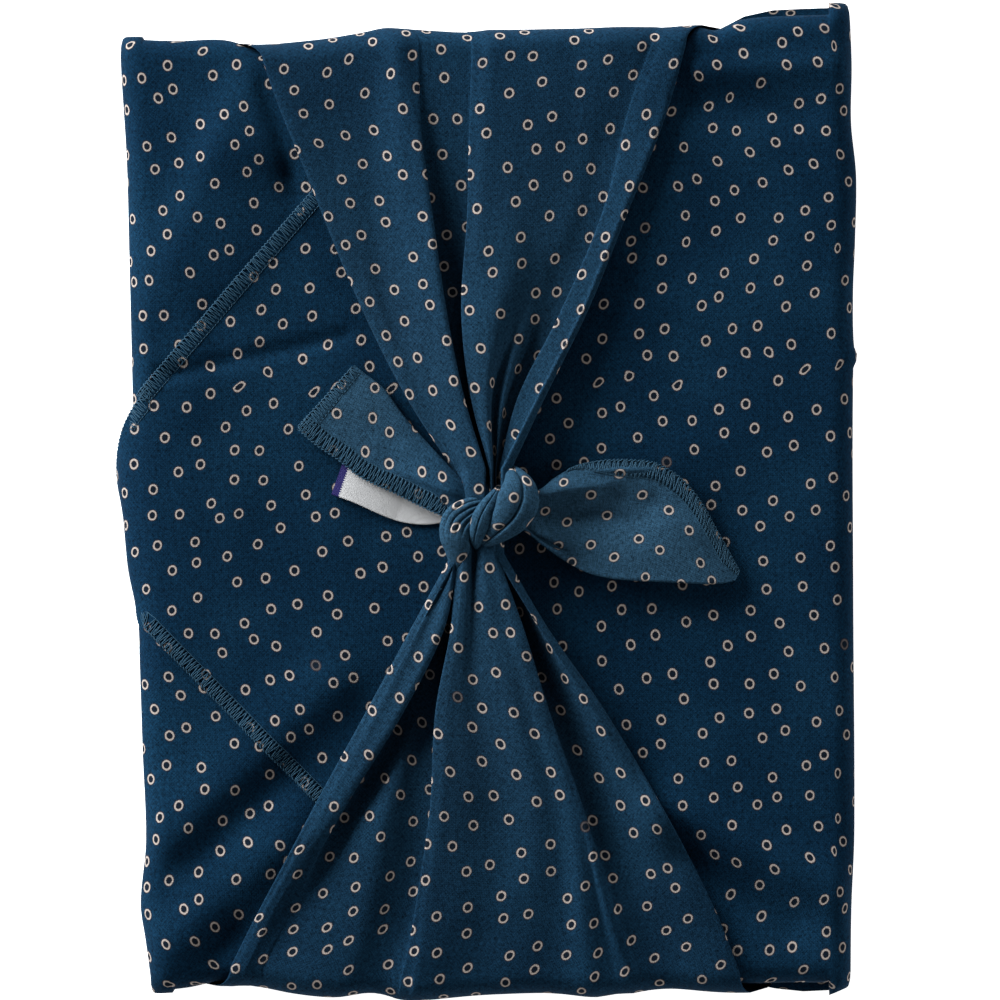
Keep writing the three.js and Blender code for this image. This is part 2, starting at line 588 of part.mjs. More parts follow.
function tailSolid(stations) {
  const rows = stations.map((station) =>
    shares(PLAIN_COLUMNS).map((share) => {
      const x = lerp(station.lowerX, station.upperX, share);
      const y = lerp(station.lowerY, station.upperY, share);
      const arch = station.arch * (1 - (2 * share - 1) ** 2);
      return new THREE.Vector3(x, y, station.z + arch + softRise(x, y));
    }),
  );
  return sheetSolid(rows, () => SHEET);
}

// ---------------------------------------------------------------- woven label
function labelSolid() {
  const { startX, startY, endX, endY, wide, sag } = LABEL;
  const length = Math.hypot(endX - startX, endY - startY);
  const sideX = -(endY - startY) / length;
  const sideY = (endX - startX) / length;
  const rows = shares(LABEL_GRID.along).map((along) =>
    shares(LABEL_GRID.across).map((across) => {
      const x = lerp(startX, endX, along) + (across - 0.5) * wide * sideX;
      const y = lerp(startY, endY, along) + (across - 0.5) * wide * sideY;
      const wave = sag * (1 - Math.cos(along * Math.PI * 2)) * 0.5;
      const rest = RIGHT_FLAP_Z + softRise(x, y) + HALF + LABEL_GAP + LABEL_THICK / 2;
      return new THREE.Vector3(x, y, rest + wave);
    }),
  );
  return sheetSolid(rows, () => LABEL_THICK);
}

// ---------------------------------------------------------------- the part
function meshOf(name, solid, material) {
  const { numProp, vertProperties, triVerts } = solid.getMesh();
  const geometry = new THREE.BufferGeometry();
  geometry.setAttribute("position", new THREE.BufferAttribute(new Float32Array(vertProperties), numProp));
  geometry.setIndex(new THREE.BufferAttribute(new Uint32Array(triVerts), 1));
  geometry.computeVertexNormals();
  const mesh = new THREE.Mesh(geometry, material);
  mesh.name = name;
  return mesh;
}

const printedCotton = new THREE.MeshStandardMaterial({ color: 0x14344a, roughness: 0.85, metalness: 0 });
const whiteSatin = new THREE.MeshStandardMaterial({ color: 0xe9e7e2, roughness: 0.55, metalness: 0 });

const clothSolid = wasm.Manifold.union([
  wrapBody(),
  ...GATHERED_FLAPS.map(gatheredFlap),
  knotHeart(),
  ...KNOT_BANDS.map(bandSolid),
  tailSolid(LEFT_TAIL),
  tailSolid(RIGHT_TAIL),
]);

const cloth = meshOf("cloth", clothSolid, printedCotton);
const wrap = new THREE.Group();
wrap.add(cloth);
wrap.add(meshOf("woven_label", labelSolid(), whiteSatin));

// The origin is the middle of the cloth's outline, on the surface that the back rests on.
cloth.geometry.computeBoundingBox();
const middle = cloth.geometry.boundingBox.getCenter(new THREE.Vector3());
wrap.position.set(-middle.x, -middle.y, 0);

const furoshiki = new THREE.Group();
furoshiki.add(wrap);

export default furoshiki;
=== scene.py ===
import math
import random

import bpy
import numpy as np
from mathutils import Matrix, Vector, noise


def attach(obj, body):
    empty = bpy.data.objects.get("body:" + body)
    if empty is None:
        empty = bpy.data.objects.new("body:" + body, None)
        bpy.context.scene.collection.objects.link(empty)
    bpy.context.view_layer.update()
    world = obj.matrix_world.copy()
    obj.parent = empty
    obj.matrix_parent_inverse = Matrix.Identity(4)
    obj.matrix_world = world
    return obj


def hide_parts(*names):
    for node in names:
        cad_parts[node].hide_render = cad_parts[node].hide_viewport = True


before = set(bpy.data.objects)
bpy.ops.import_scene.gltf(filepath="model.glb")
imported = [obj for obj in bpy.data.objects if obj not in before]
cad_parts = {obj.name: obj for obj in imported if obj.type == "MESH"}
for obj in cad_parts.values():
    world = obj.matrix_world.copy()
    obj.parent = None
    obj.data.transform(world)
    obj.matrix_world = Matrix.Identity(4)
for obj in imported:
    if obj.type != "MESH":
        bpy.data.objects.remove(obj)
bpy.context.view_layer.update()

# The furoshiki wrap: one square printed cotton cloth folded round a flat parcel and knotted on its front.
# The layout is in millimetres and its outline is centred in the frame. It lies on Z = 0.

MM = 0.001
LAYOUT_CENTRE = np.array([1.215, -2.558, 0.0])

# ---- driving dimensions
BACK_Z = 0.5  # height of the thin sheet at the back
LEFT_FLAP_Z = 21.2
RIGHT_FLAP_Z = 22.1
FLAP_REST = 0.9  # the gathered flaps lie this far over the right flap
SIDE_TOP_BEND = 8.0
SIDE_FOOT_BEND = 6.0
END_BEND = 6.5
LIP_HEIGHT = 2.2  # the panels' turned-down ends stop this far above the floor
FLAPS_APART = 0.75  # the right flap's free edge lies this far over the left flap
SINK_REACH = 26.0  # and the right flap is up at its own height this far inside its edge
PLAIN_ENDS = (-167.5, 156.5)  # y of the body's first and last crossing
BACK_TAB = 14.0  # each gathered flap's cloth reaches this far in at the back
FLAP_BEND = 7.0
FLAP_FOOT_BEND = 5.0
HEM_WIDTH = 5.2  # width of the overlocked hem
TAIL_HEM_WIDTH = 6.0  # looser on the free tails
STITCH_LENGTH = 1.5
THREAD_RADIUS = 0.165
WEAVE_PITCH = 0.45
RING_CELL = 11.3  # one printed ring to each square of this side
RING_RADIUS = 1.48
RING_STROKE = 0.60
RING_SOFTNESS = 0.16  # the print's edge fades over this on each side
RING_TOSS = 3.5  # the rings' cells are bent out of line by up to about half of this
RING_FRAY = 0.22  # and the outline of a ring by about a tenth of a millimetre
RING_TURN = 19  # degrees from the cloth's sides to the rows of cells
RING_STRETCH = (1.06, 0.96, 1)
RING_FAINT = (0.986, 0.992)  # a ring whose luck, from 0 to 1, is above this is misprinted and faint
SLUB_SIZE = (0.42, 2.2)  # across and along a thread
LABEL_RIB = 0.42  # from one rib of the satin to the next
LABEL_PICK = 0.30  # and across them, from one weft thread to the next

# ---- outline of the parcel
LEFT_EDGE = {
    "y": (-177, -155, -142, -120, -88, -54, 36, 84, 120, 157, 175),
    "x": (-118.2, -121.2, -123.0, -121.1, -122.3, -123.4, -125.8, -127.0, -128.0, -130.2, -129.6),
}
RIGHT_EDGE = {
    "y": (-177, -147, -119, -40, 38, 42, 46, 64, 81, 104, 122, 143, 175),
    "x": (130.4, 130.7, 131.8, 131.4, 131.4, 132.9, 131.6, 131.3, 132.0, 132.4, 130.6, 130.8, 129.2),
}
TOP_END = {
    "x": (-130, -110, -93, -76, -30, 40, 70, 75, 82, 90, 100, 129),
    "y": (165.4, 164.6, 164.9, 160.6, 164.4, 165.4, 166.0, 169.4, 168.2, 171.6, 172.8, 173.9),
}
BOTTOM_END = {
    "x": (-118, -106, -94, -76, -26, 20, 37, 60, 90, 109, 123, 130),
    "y": (-176.6, -175.2, -172.6, -171.2, -175.4, -173.2, -174.0, -172.0, -173.4, -176.6, -176.8, -174.6),
}
# The corners where the front does not come down, so that the parcel's inside shows.
TOP_MOUTH = {"start": 80.0, "stop": 106.0, "drop": 4.5, "back_out": 3.2, "front_in": 0.0}
BOTTOM_MOUTH = {"start": 88.0, "stop": 114.0, "drop": 5.5, "back_out": 0.0, "front_in": 4.0}

RIGHT_FLAP_CORNER = {"x": -161.0, "y": -5.3, "upper": 0.868, "lower": 0.989, "radius": 60.0}
LEFT_FLAP_CORNER = {"x": 136.0, "y": 0.0, "upper": 0.95, "lower": 0.95, "radius": 75.0}
# The radius at which the right flap bends over the left side: its corner stands off the parcel.
OVER_BEND = {"y": (-46, -38, -24, -6, 8, 18, 26, 36, 46), "bend": (9, 9, 11.6, 13, 15, 15.4, 15, 13, 9)}

# Soft ridges (+) and troughs (-) of the cloth that lies over the parcel: a line, the half width on its
# left-hand side and on its right-hand side as it runs, and a rise.
PANEL_FOLDS = (
    ((-83, 146), (-95, 124), 24, 8, 2.0),
    ((-93, 126), (-108, 86), 26, 10, 3.2),
    ((-78, 146), (-70, 118), 4, 4, -1.3),
    ((-70, 114), (-68, 110), 5, 5, -2.2),
    ((-128, 96), (-126, 78), 7, 7, -1.2),
    ((-126, 26), (-120, -172), 11, 11, -1.5),
    ((-115, 44), (-50, 58), 2.4, 2.4, -1.5),
    ((-96, 62), (-92, 52), 6, 6, -1.0),
    ((-88, 24), (-70, 0), 18, 14, -1.2),
    ((-112, -120), (-54, -66), 13, 8, 3.2),
    ((-106, -130), (-66, -94), 7, 7, -1.0),
    ((-110, -157), (-70, -118), 10, 10, 3.1),
    ((-108, -173), (-88, -155), 7, 7, -1.6),
    ((64, 150), (10, 16), 24, 60, 2.2),
    ((14, -30), (72, -128), 22, 50, 1.2),
    ((76, 152), (128, 155), 5, 5, 1.8),
    ((73, 142), (112, 137), 7, 7, -1.8),
    ((42, 82), (122, 22), 2.6, 2.6, -0.35),
    ((66, -110), (124, -138), 9, 9, 3.6),
    ((72, -126), (108, -150), 8, 8, -3.2),
    ((60, 10), (116, 30), 15, 15, 0.6),
    ((88, -10), (124, -40), 14, 14, -0.7),
)

# ---- gathered flaps
# Each row is a fold that runs from the parcel's end to the knot. Its values are given at FLAP_PLACES, the
# distances from the end.
FLAP_PLACES = (0, 30, 65, 100, 130, 156)
TURNED_UNDER = (84, 77, 67, 55, 42, 15)  # the flap's sides are turned under this far
HIDDEN_DROP = 0.6  # and lie this far below it
LIP_SIZE = (1, 1, 1, 1, 0.8, 0.35)  # the lips grow finer towards the knot


def soft(x, rise):
    """The crest or the bottom of a rounded fold."""
    return {"kind": "soft", "x": x, "rise": rise}


def lip(side, x, rise, tuck, under):
    """A crisp edge that faces `side` and overhangs by `tuck`, with its foot at `under` of its own rise."""
    return {"kind": "lip", "side": side, "x": x, "rise": rise, "tuck": tuck, "under": under}


def flap_side(side, x, rise):
    """The flap's left (-1) or right (1) side, where its cloth is turned under."""
    return {"kind": "edge", "side": side, "x": x, "rise": rise}


TOP_FLAP = {
    "end": 1,
    "end_y": 166.7,
    "outline": {
        "x": (-112, -80, -70, -52, -36, -25, -7, 5, 39, 73, 98),
        "y": (162.6, 162.0, 161.6, 163.6, 166.4, 167.2, 166.3, 166.5, 167.6, 168.4, 170.6),
    },
    "root": (-110.0, 92.0),
    "folds": (
        flap_side(-1, (-80.9, -71, -58, -43.3, -28.2, -11.5), (0.9, 1.2, 1.8, 2.6, 3.2, 2.2)),
        soft((-66, -58.5, -49, -37.6, -24.4, -10.2), (1.5, 2.0, 2.8, 4.0, 4.8, 4.0)),
        soft((-43.5, -41.0, -39.6, -33.0, -21.6, -8.6), (0.8, 1.0, 1.8, 3.4, 5.2, 5.6)),
        soft((-37.0, -35.6, -32.6, -26.4, -16.2, -6.4), (1.2, 2.0, 2.8, 4.6, 6.8, 8.8)),
        soft((-31.5, -30.4, -27.6, -21.6, -12.4, -3.9), (2.9, 3.8, 4.6, 6.0, 8.0, 9.6)),
        lip(1, (-25.0, -23.4, -18.6, -13.5, -7.4, 0.4), (2.1, 3.8, 6.2, 7.6, 8.8, 9.8),
            (0, 0.6, 1.6, 2.6, 2.0, 1.0), 0.08),
        soft((-15.5, -14.6, -13.6, -11.4, -6.8, 0.9), (1.0, 0.4, 0.1, 0.0, 0.8, 4.0)),
        lip(-1, (-2.6, -5.4, -6.3, -8.4, -5.2, 1.6), (1.6, 2.6, 4.4, 6.2, 7.8, 9.0),
            (0, 0.8, 1.4, 2.0, 1.6, 0.8), 0.08),
        soft((3.4, 0.8, -1.2, -3.4, -1.6, 2.2), (2.5, 3.8, 5.4, 6.8, 8.6, 9.6)),
        soft((14.0, 13.0, 9.6, 4.4, 1.4, 2.8), (1.7, 3.0, 5.0, 7.2, 8.2, 9.2)),
        soft((32.0, 28.6, 22.6, 12.2, 3.6, 3.2), (1.1, 1.9, 2.8, 3.6, 3.4, 5.4)),
        soft((45.0, 39.0, 30.4, 16.0, 6.8, 3.7), (1.7, 1.5, 1.8, 2.6, 6.2, 8.0)),
        soft((58.0, 45.6, 36.0, 21.6, 8.9, 4.2), (1.1, 0.8, 0.7, 0.8, 2.0, 5.0)),
        lip(-1, (63.6, 51.8, 41.6, 26.8, 11.8, 4.8), (1.4, 1.8, 2.3, 3.1, 4.9, 6.9),
            (0, 0.3, 0.9, 1.2, 1.2, 0.8), 0.25),
        soft((69.0, 60.8, 47.4, 34.0, 19.2, 8.0), (2.0, 2.6, 3.4, 4.4, 6.2, 8.4)),
        flap_side(1, (73.1, 64.6, 50.6, 36.4, 21.6, 9.4), (1.1, 1.8, 2.6, 3.5, 5.0, 6.8)),
    ),
}
BOTTOM_FLAP = {
    "end": -1,
    "end_y": -175.2,
    "outline": {
        "x": (-110, -93, -76, -64, -50, -38, -26, 5, 19, 37, 60, 78, 93, 106),
        "y": (-173.4, -172.8, -173.4, -175.4, -176.6, -175.8, -177.7, -175.6, -175.2, -176.3, -174.1, -174.8,
              -175.2, -175.6),
    },
    "root": (-108.0, 104.0),
    "folds": (
        flap_side(-1, (-93.7, -79.2, -61.4, -42.2, -26.0, -11.8), (0.8, 1.4, 2.2, 3.2, 4.4, 6.0)),
        soft((-91.2, -76.8, -57.4, -38.2, -23.0, -10.9), (1.6, 3.0, 4.6, 5.6, 6.3, 7.4)),
        soft((-89.6, -75.0, -55.6, -34.8, -20.2, -10.4), (1.5, 3.1, 5.0, 5.8, 5.9, 7.3)),
        soft((-88.0, -73.4, -53.4, -31.6, -17.0, -9.9), (1.5, 3.2, 5.4, 6.6, 7.3, 8.0)),
        lip(1, (-84.4, -69.4, -50.2, -28.8, -14.2, -9.5), (1.3, 2.6, 5.2, 6.6, 7.4, 8.0),
            (0, 0, 1.5, 2.0, 1.2, 0.4), 0.08),
        soft((-78.0, -64.5, -46.0, -26.0, -13.4, -9.3), (0.9, 1.0, 0.5, 0.3, 1.6, 5.0)),
        soft((-53.0, -43.5, -36.0, -23.4, -13.0, -9.2), (2.4, 3.4, 3.4, 0.5, 1.2, 4.8)),
        soft((-43.0, -36.0, -29.0, -21.6, -12.8, -9.1), (0.6, 1.1, 1.2, 0.2, 1.2, 4.8)),
        soft((-36.5, -29.5, -23.4, -19.6, -12.5, -9.0), (0.1, 0.0, 0.0, 0.0, 1.4, 5.0)),
        lip(-1, (-30.0, -25.0, -19.6, -17.6, -12.0, -8.9), (1.8, 4.0, 5.6, 6.4, 7.4, 8.2),
            (0, 1.0, 2.0, 2.0, 0.8, 0.2), 0.08),
        soft((-26.0, -20.6, -15.4, -13.6, -9.6, -7.6), (2.6, 4.8, 6.2, 6.9, 7.8, 8.6)),
        soft((-14.0, -6.8, -6.0, -9.0, -6.8, -5.4), (1.8, 4.0, 5.4, 6.3, 7.4, 8.4)),
        soft((-6.0, 3.2, 4.6, -1.6, -4.6, -3.9), (1.7, 2.9, 3.8, 4.8, 6.2, 6.4)),
        soft((12.0, 15.6, 17.6, 9.6, 1.6, -1.0), (2.0, 3.6, 5.4, 6.6, 7.6, 8.6)),
        soft((28.0, 27.4, 25.0, 15.4, 7.0, 1.4), (1.4, 2.4, 4.4, 6.2, 7.9, 8.8)),
        soft((39.4, 35.0, 30.2, 18.6, 10.2, 3.0), (2.6, 5.0, 5.8, 7.0, 8.5, 9.0)),
        soft((46.0, 40.4, 32.6, 20.4, 11.4, 3.4), (1.2, 2.8, 5.8, 7.0, 8.4, 9.0)),
        lip(1, (56.0, 45.6, 35.2, 22.9, 13.6, 4.3), (2.2, 4.4, 5.6, 6.8, 8.2, 8.8),
            (0, 0.2, 1.4, 2.2, 1.8, 0.4), 0.08),
        soft((68.0, 54.6, 42.8, 29.0, 16.2, 4.6), (1.0, 0.7, 0.3, 0.2, 1.4, 4.2)),
        soft((84.0, 74.6, 57.6, 38.2, 19.4, 5.6), (2.2, 3.2, 4.2, 5.2, 6.8, 7.8)),
        flap_side(1, (93.0, 81.5, 63.6, 42.8, 22.2, 6.8), (1.0, 1.6, 2.4, 3.4, 5.0, 6.4)),
    ),
}

# ---- knot
# Strands of the knot, each with its middle line, half width and thickness. Creases run along the strand at
# a share of its half width, with their depth.
KNOT_STRANDS = (
    {  # neck
        "line": ((0.6, -9.0, 31.0), (2.2, -13.0, 31.6), (2.3, -17.2, 31.0), (3.4, -21.5, 29.6),
                 (5.6, -26.5, 27.0)),
        "half": (2.4, 3.5, 3.2, 2.8, 1.8),
        "thick": (3.0, 3.8, 3.8, 3.2, 2.4),
        "creases": ((-0.45, 0.6), (0.0, 0.7), (0.45, 0.6)),
        "crease_stop": 1.0,
    },
    {  # left strand
        "line": ((5.0, 0.4, 29.4), (0.4, -1.8, 32.6), (-4.8, -3.8, 34.2), (-9.2, -7.4, 34.4),
                 (-10.6, -12.4, 33.6), (-9.9, -17.4, 32.0), (-9.9, -22.4, 30.0), (-10.9, -27.6, 27.6)),
        "half": (1.8, 3.2, 4.8, 6.0, 5.7, 4.7, 3.1, 1.0),
        "thick": (3.0, 3.8, 4.8, 5.6, 5.6, 5.0, 4.0, 2.2),
        "creases": ((-0.56, 1.0), (-0.16, 0.8), (0.14, 0.9), (0.5, 0.8)),
        "crease_stop": 0.56,
    },
    {  # middle strand
        "line": ((5.2, 4.4, 30.0), (3.4, 1.2, 34.8), (1.0, -2.6, 37.4), (-1.0, -6.4, 38.0),
                 (-2.2, -10.2, 36.8), (-3.0, -14.0, 33.8), (-2.4, -17.2, 29.4)),
        "half": (1.2, 2.2, 3.2, 3.5, 3.2, 2.4, 1.0),
        "thick": (3.0, 4.0, 4.6, 4.8, 4.6, 3.8, 2.6),
        "creases": ((0.2, 0.6),),
        "crease_stop": 0.9,
    },
    {  # right loop
        "line": ((7.6, 11.0, 27.0), (10.4, 8.8, 32.6), (12.0, 4.8, 37.0), (11.7, -0.4, 39.0),
                 (9.2, -6.0, 39.0), (4.9, -10.8, 37.0), (0.8, -14.4, 33.4), (-1.6, -16.6, 28.4)),
        "half": (1.8, 3.6, 6.2, 7.6, 6.7, 4.8, 2.7, 1.2),
        "thick": (3.4, 4.6, 5.4, 5.6, 5.4, 4.6, 3.6, 2.4),
        "creases": ((-0.06, 1.7),),
        "crease_stop": 0.94,
    },
)
KNOT_HEART = {"centre": (1.5, -4.5, 29.0), "radii": (11.6, 10.4, 6.4)}

# ---- tails
# Stations from the knot to the free end: both edges, and how far the cloth arches between them. The pair for
# painted sheen says how much paler and greyer the dye is made near the knot and at the free end, painted
# sheen that stands in for light on the tail. A crease is a line, its half width on its right-hand side and on
# its left-hand side, and a rise.
LEFT_TAIL = {
    "painted_sheen": (0.3, 1.0),
    "upper": ((2, -1, 31.4), (-7.8, 6.4, 31.0), (-15.6, 14.4, 29.0), (-22.4, 21.8, 27.0),
              (-29.8, 30.4, 26.0), (-35.9, 38.9, 25.2), (-42.6, 44.2, 24.8), (-46.6, 47.4, 24.6)),
    "lower": ((-4, -9, 30.4), (-15.6, -5.4, 30.2), (-24.0, -1.6, 27.8), (-32.7, 2.7, 26.4),
              (-44.0, 8.0, 25.6), (-52.0, 14.2, 25.0), (-60.0, 19.6, 24.4), (-66.6, 25.4, 24.0)),
    "arch": (1.6, 2.2, 2.0, 1.4, 1.0, 0.8, 0.6, 0.4),
    "fold_edge": "upper",
    "grid": (90, 54),
    "creases": (
        ((-8, 1), (-32, 10), 3.2, 1.4, 1.3),
        ((-10, 4), (-30, 20), 2.4, 4.2, 0.9),
        ((-12, -3), (-26, 1), 1.6, 2.4, -1.2),
        ((-30, 12), (-54, 26), 6.0, 6.0, -0.5),
        ((-40, 30), (-56, 36), 5.0, 5.0, 0.5),
    ),
}
RIGHT_TAIL = {
    "painted_sheen": (1.0, 1.0),
    "upper": ((11, 2, 29.0), (19.2, 3.6, 28.6), (25.0, 8.0, 27.6), (32.6, 12.0, 26.4),
              (42.4, 13.8, 25.6), (53.0, 13.8, 25.0), (61.4, 12.4, 24.6), (70.0, 7.0, 24.4),
              (76.4, -0.6, 24.3), (81.4, -9.4, 24.2), (86.2, -18.0, 24.0), (90.4, -25.6, 23.8)),
    "lower": ((8, -9, 28.4), (14.0, -10.8, 28.8), (20.4, -15.8, 29.0), (27.6, -20.8, 29.4),
              (35.6, -25.2, 29.8), (44.0, -27.4, 30.2), (52.0, -28.2, 30.2), (60.0, -28.6, 30.0),
              (68.0, -29.0, 29.4), (76.0, -29.4, 28.4), (83.0, -29.4, 27.0), (88.8, -28.4, 25.0)),
    "arch": (1.4, 1.4, 1.2, 0.6, 0.2, 0.0, 0.0, 0.0, 0.0, 0.0, 0.0, 0.0),
    "fold_edge": "lower",
    "grid": (110, 60),
    "creases": (
        ((13, -4.6), (58, -7.6), 9.0, 4.6, -3.2),
        ((15, 0.6), (50, 7.2), 4.4, 4.0, 2.0),
        ((24, -4.2), (38, -2.4), 0.7, 0.9, 0.8),
        ((20, 1.2), (36, 7.6), 3.0, 3.4, 0.8),
        ((44, 1), (66, -4), 6.0, 5.0, -1.2),
        ((15, -10.4), (32, -17.6), 1.2, 3.0, 1.0),
        ((14, -12.0), (30, -18.4), 1.6, 1.0, -1.3),
        ((34, -14), (66, -20), 6.0, 6.0, 0.5),
        ((60, -4), (80, -16), 5.0, 6.0, 0.8),
        ((58, 2), (74, -8), 4.0, 4.0, -0.6),
        ((36, 10.4), (60, 11.0), 1.6, 0.8, 1.4),
    ),
}

# ---- woven label
LABEL = {
    "line": ((-52.6, 7.2), (-44.4, 4.2), (-35.5, 0.2), (-28.4, -2.4), (-21.3, -3.2), (-15.6, -2.5)),
    "width": 11.4,
    "thick": 0.5,
    "navy_end": 2.9,
    "lift": 0.7,  # how far it stands off the cloth
    "grid": (80, 26),
}


# ======== small helpers
def ease(start, stop, at):
    share = np.clip((np.asarray(at, float) - start) / (stop - start), 0.0, 1.0)
    return share * share * (3.0 - 2.0 * share)


def blend(first, second, share):
    return first + (second - first) * share


def unit(vectors, least=0.0):
    """The rows of an array brought to length 1; `least` keeps a row of zeros from failing."""
    return vectors / (np.linalg.norm(vectors, axis=1)[:, None] + least)


def along_curve(share, span, first, leaving, second, arriving):
    """A share of the way along a smooth curve from one value to the next, with the slope at each."""
    square = share * share
    cube = square * share
    return (
        (2 * cube - 3 * square + 1) * first
        + (cube - 2 * square + share) * span * leaving
        + (3 * square - 2 * cube) * second
        + (cube - square) * span * arriving
    )


def follow(places, values, at):
    """The value at a place on a smooth line through a table's rows."""
    places = np.asarray(places, float)
    values = np.asarray(values, float)
    at = np.clip(np.asarray(at, float), places[0], places[-1])
    row = np.clip(np.searchsorted(places, at, side="right") - 1, 0, len(places) - 2)
    slopes = np.empty_like(values)
    slopes[1:-1] = ((values[2:] - values[:-2]).T / (places[2:] - places[:-2])).T
    slopes[0] = (values[1] - values[0]) / (places[1] - places[0])
    slopes[-1] = (values[-1] - values[-2]) / (places[-1] - places[-2])
    span = places[row + 1] - places[row]
    share = (at - places[row]) / span
    if values.ndim > 1:
        span = span[..., None]
        share = share[..., None]
    return along_curve(share, span, values[row], slopes[row], values[row + 1], slopes[row + 1])


def rough(x, y, scale, seed):
    """Smooth noise between about -1 and 1 with waves of about `scale` millimetres."""
    x, y = np.broadcast_arrays(np.asarray(x, float), np.asarray(y, float))
    flat = [noise.noise(Vector((a / scale, b / scale, seed))) for a, b in zip(x.ravel(), y.ravel())]
    return np.array(flat).reshape(x.shape)


def line_distance(x, y, start, stop):
    """Signed distance from the line through two points, the share of the way along it, and its length."""
    along = np.array(stop, float) - np.array(start, float)
    length = math.hypot(*along)
    ahead = along / length
    share = ((x - start[0]) * ahead[0] + (y - start[1]) * ahead[1]) / length
    aside = -(x - start[0]) * ahead[1] + (y - start[1]) * ahead[0]
    return aside, share, length


def soft_fold(x, y, start, stop, width_left, width_right, rise):
    """A soft ridge or trough along a line, with a slope of its own on each side, fading past its ends."""
    aside, share, length = line_distance(x, y, start, stop)
    past = np.maximum(0.0, np.maximum(-share, share - 1.0)) * length
    width = np.where(aside > 0, width_left, width_right)
    fade = 1.2 * min(width_left, width_right)
    return rise * np.exp(-((aside / width) ** 2)) * np.exp(-((past / fade) ** 2))


def crisp_fold(x, y, start, stop, width_right, width_left, rise):
    """A ridge or trough along a line, with a slope of its own on each side, highest in its middle."""
    aside, share = line_distance(x, y, start, stop)[:2]
    width = np.where(aside > 0, width_left, width_right)
    taper = ease(-0.12, 0.2, share) * (1.0 - ease(0.6, 1.25, share))
    return rise * np.exp(-np.abs(aside / width) ** 1.5) * taper


def panel_relief(x, y):
    """How far the cloth over the parcel stands above or below its plain height."""
    relief = np.zeros(np.broadcast(x, y).shape)
    for start, stop, width_left, width_right, rise in PANEL_FOLDS:
        relief = relief + soft_fold(x, y, start, stop, width_left, width_right, rise)
    return relief + 0.7 * rough(x, y, 34.0, 2.0) + 0.25 * rough(x, y, 12.0, 5.0)


def free_edge(corner, y, side):
    """The x of a rounded corner's free edge at each y; side is -1 where the corner points left."""
    y = np.asarray(y, float)
    angle = math.pi - math.atan(1 / corner["upper"]) - math.atan(1 / corner["lower"])
    half_angle = (math.pi - angle) / 2
    radius = corner["radius"]
    reach = radius / math.sin(half_angle)
    tangent = radius / math.tan(half_angle)
    away = y - corner["y"]
    lean = np.where(away > 0, corner["upper"], corner["lower"])
    straight = corner["x"] - side * np.abs(away) * lean
    arc = corner["x"] - side * (reach - np.sqrt(np.maximum(0.0, radius**2 - away**2)))
    return np.where(np.abs(away) >= tangent / np.hypot(1, lean), straight, arc)


def right_flap_edge(y):
    return free_edge(RIGHT_FLAP_CORNER, y, -1)


def bend_over(x, y):
    """Where the right flap's cloth ends up at the left side: its x and how far it drops."""
    bend = follow(OVER_BEND["y"], OVER_BEND["bend"], y)
    start = follow(LEFT_EDGE["y"], LEFT_EDGE["x"], y) + SIDE_TOP_BEND
    past = np.maximum(0.0, start - x)
    turn = np.minimum(past / bend, math.pi / 2)
    hang = np.maximum(0.0, past - bend * math.pi / 2)
    return np.where(past > 0, start - bend * np.sin(turn), x), bend * (1 - np.cos(turn)) + hang


def right_flap_z(x, y):
    """Height of the right flap, which sinks onto the left flap near its free edge."""
    inside = x - right_flap_edge(y)
    over = blend(LEFT_FLAP_Z + FLAPS_APART, RIGHT_FLAP_Z, ease(0, SINK_REACH, inside))
    return over + panel_relief(x, y)


def under_flap_z(x, y):
    """Height of the uppermost panel."""
    inside = x - right_flap_edge(y)
    upper = right_flap_z(x, y)
    return blend(LEFT_FLAP_Z + panel_relief(x, y), upper, ease(-2, 2, inside))


# ======== meshes
def put_in_scene(name, data):
    """A new object of the scene that holds a mesh, a lamp or a camera."""
    holder = bpy.data.objects.new(name, data)
    bpy.context.scene.collection.objects.link(holder)
    return holder


class GridMesh:
    """Grids of points in the layout's millimetres, joined into one piece."""

    def __init__(self):
        self.points = []
        self.faces = []
        self.count = 0

    def add_grid(self, points, ring):
        rows, columns = points.shape[:2]
        index = self.count + np.arange(rows * columns).reshape(rows, columns)
        if ring:
            index = np.concatenate([index, index[:, :1]], axis=1)
        quads = np.stack([index[:-1, :-1], index[:-1, 1:], index[1:, 1:], index[1:, :-1]], axis=-1)
        self.faces.append(quads.reshape(-1, 4))
        self.points.append(points.reshape(-1, 3))
        self.count += rows * columns

    def new_mesh(self, name):
        points = (np.concatenate(self.points) - LAYOUT_CENTRE) * MM
        mesh = bpy.data.meshes.new(name)
        mesh.from_pydata(points.tolist(), [], np.concatenate(self.faces).tolist())
        mesh.validate()
        mesh.shade_smooth()
        return mesh

    def build(self, name):
        return put_in_scene(name, self.new_mesh(name))


class ClothMesh(GridMesh):
    """The sheets of one cloth, each point with its place on the flat cloth and its share of painted sheen."""

    def __init__(self):
        super().__init__()
        self.places = []
        self.painted_sheen = []

    def grid(self, points, places, ring=False, painted_sheen=0.0):
        self.add_grid(points, ring)
        self.places.append(places.reshape(-1, 2))
        self.painted_sheen.append(np.broadcast_to(painted_sheen, points.shape[:2]).ravel())

    def new_mesh(self, name):
        mesh = super().new_mesh(name)
        places = np.concatenate(self.places) * MM
        layer = mesh.uv_layers.new(name="flat_cloth")
        corner = np.empty(len(mesh.loops), dtype=np.int32)
        mesh.loops.foreach_get("vertex_index", corner)
        layer.data.foreach_set("uv", places[corner].ravel())
        # each point's share of painted sheen, which makes the dye paler where light is painted on
        painted_sheen = mesh.attributes.new("painted_sheen", "FLOAT", "POINT")
        painted_sheen.data.foreach_set("value", np.concatenate(self.painted_sheen).astype(np.float32))
        return mesh


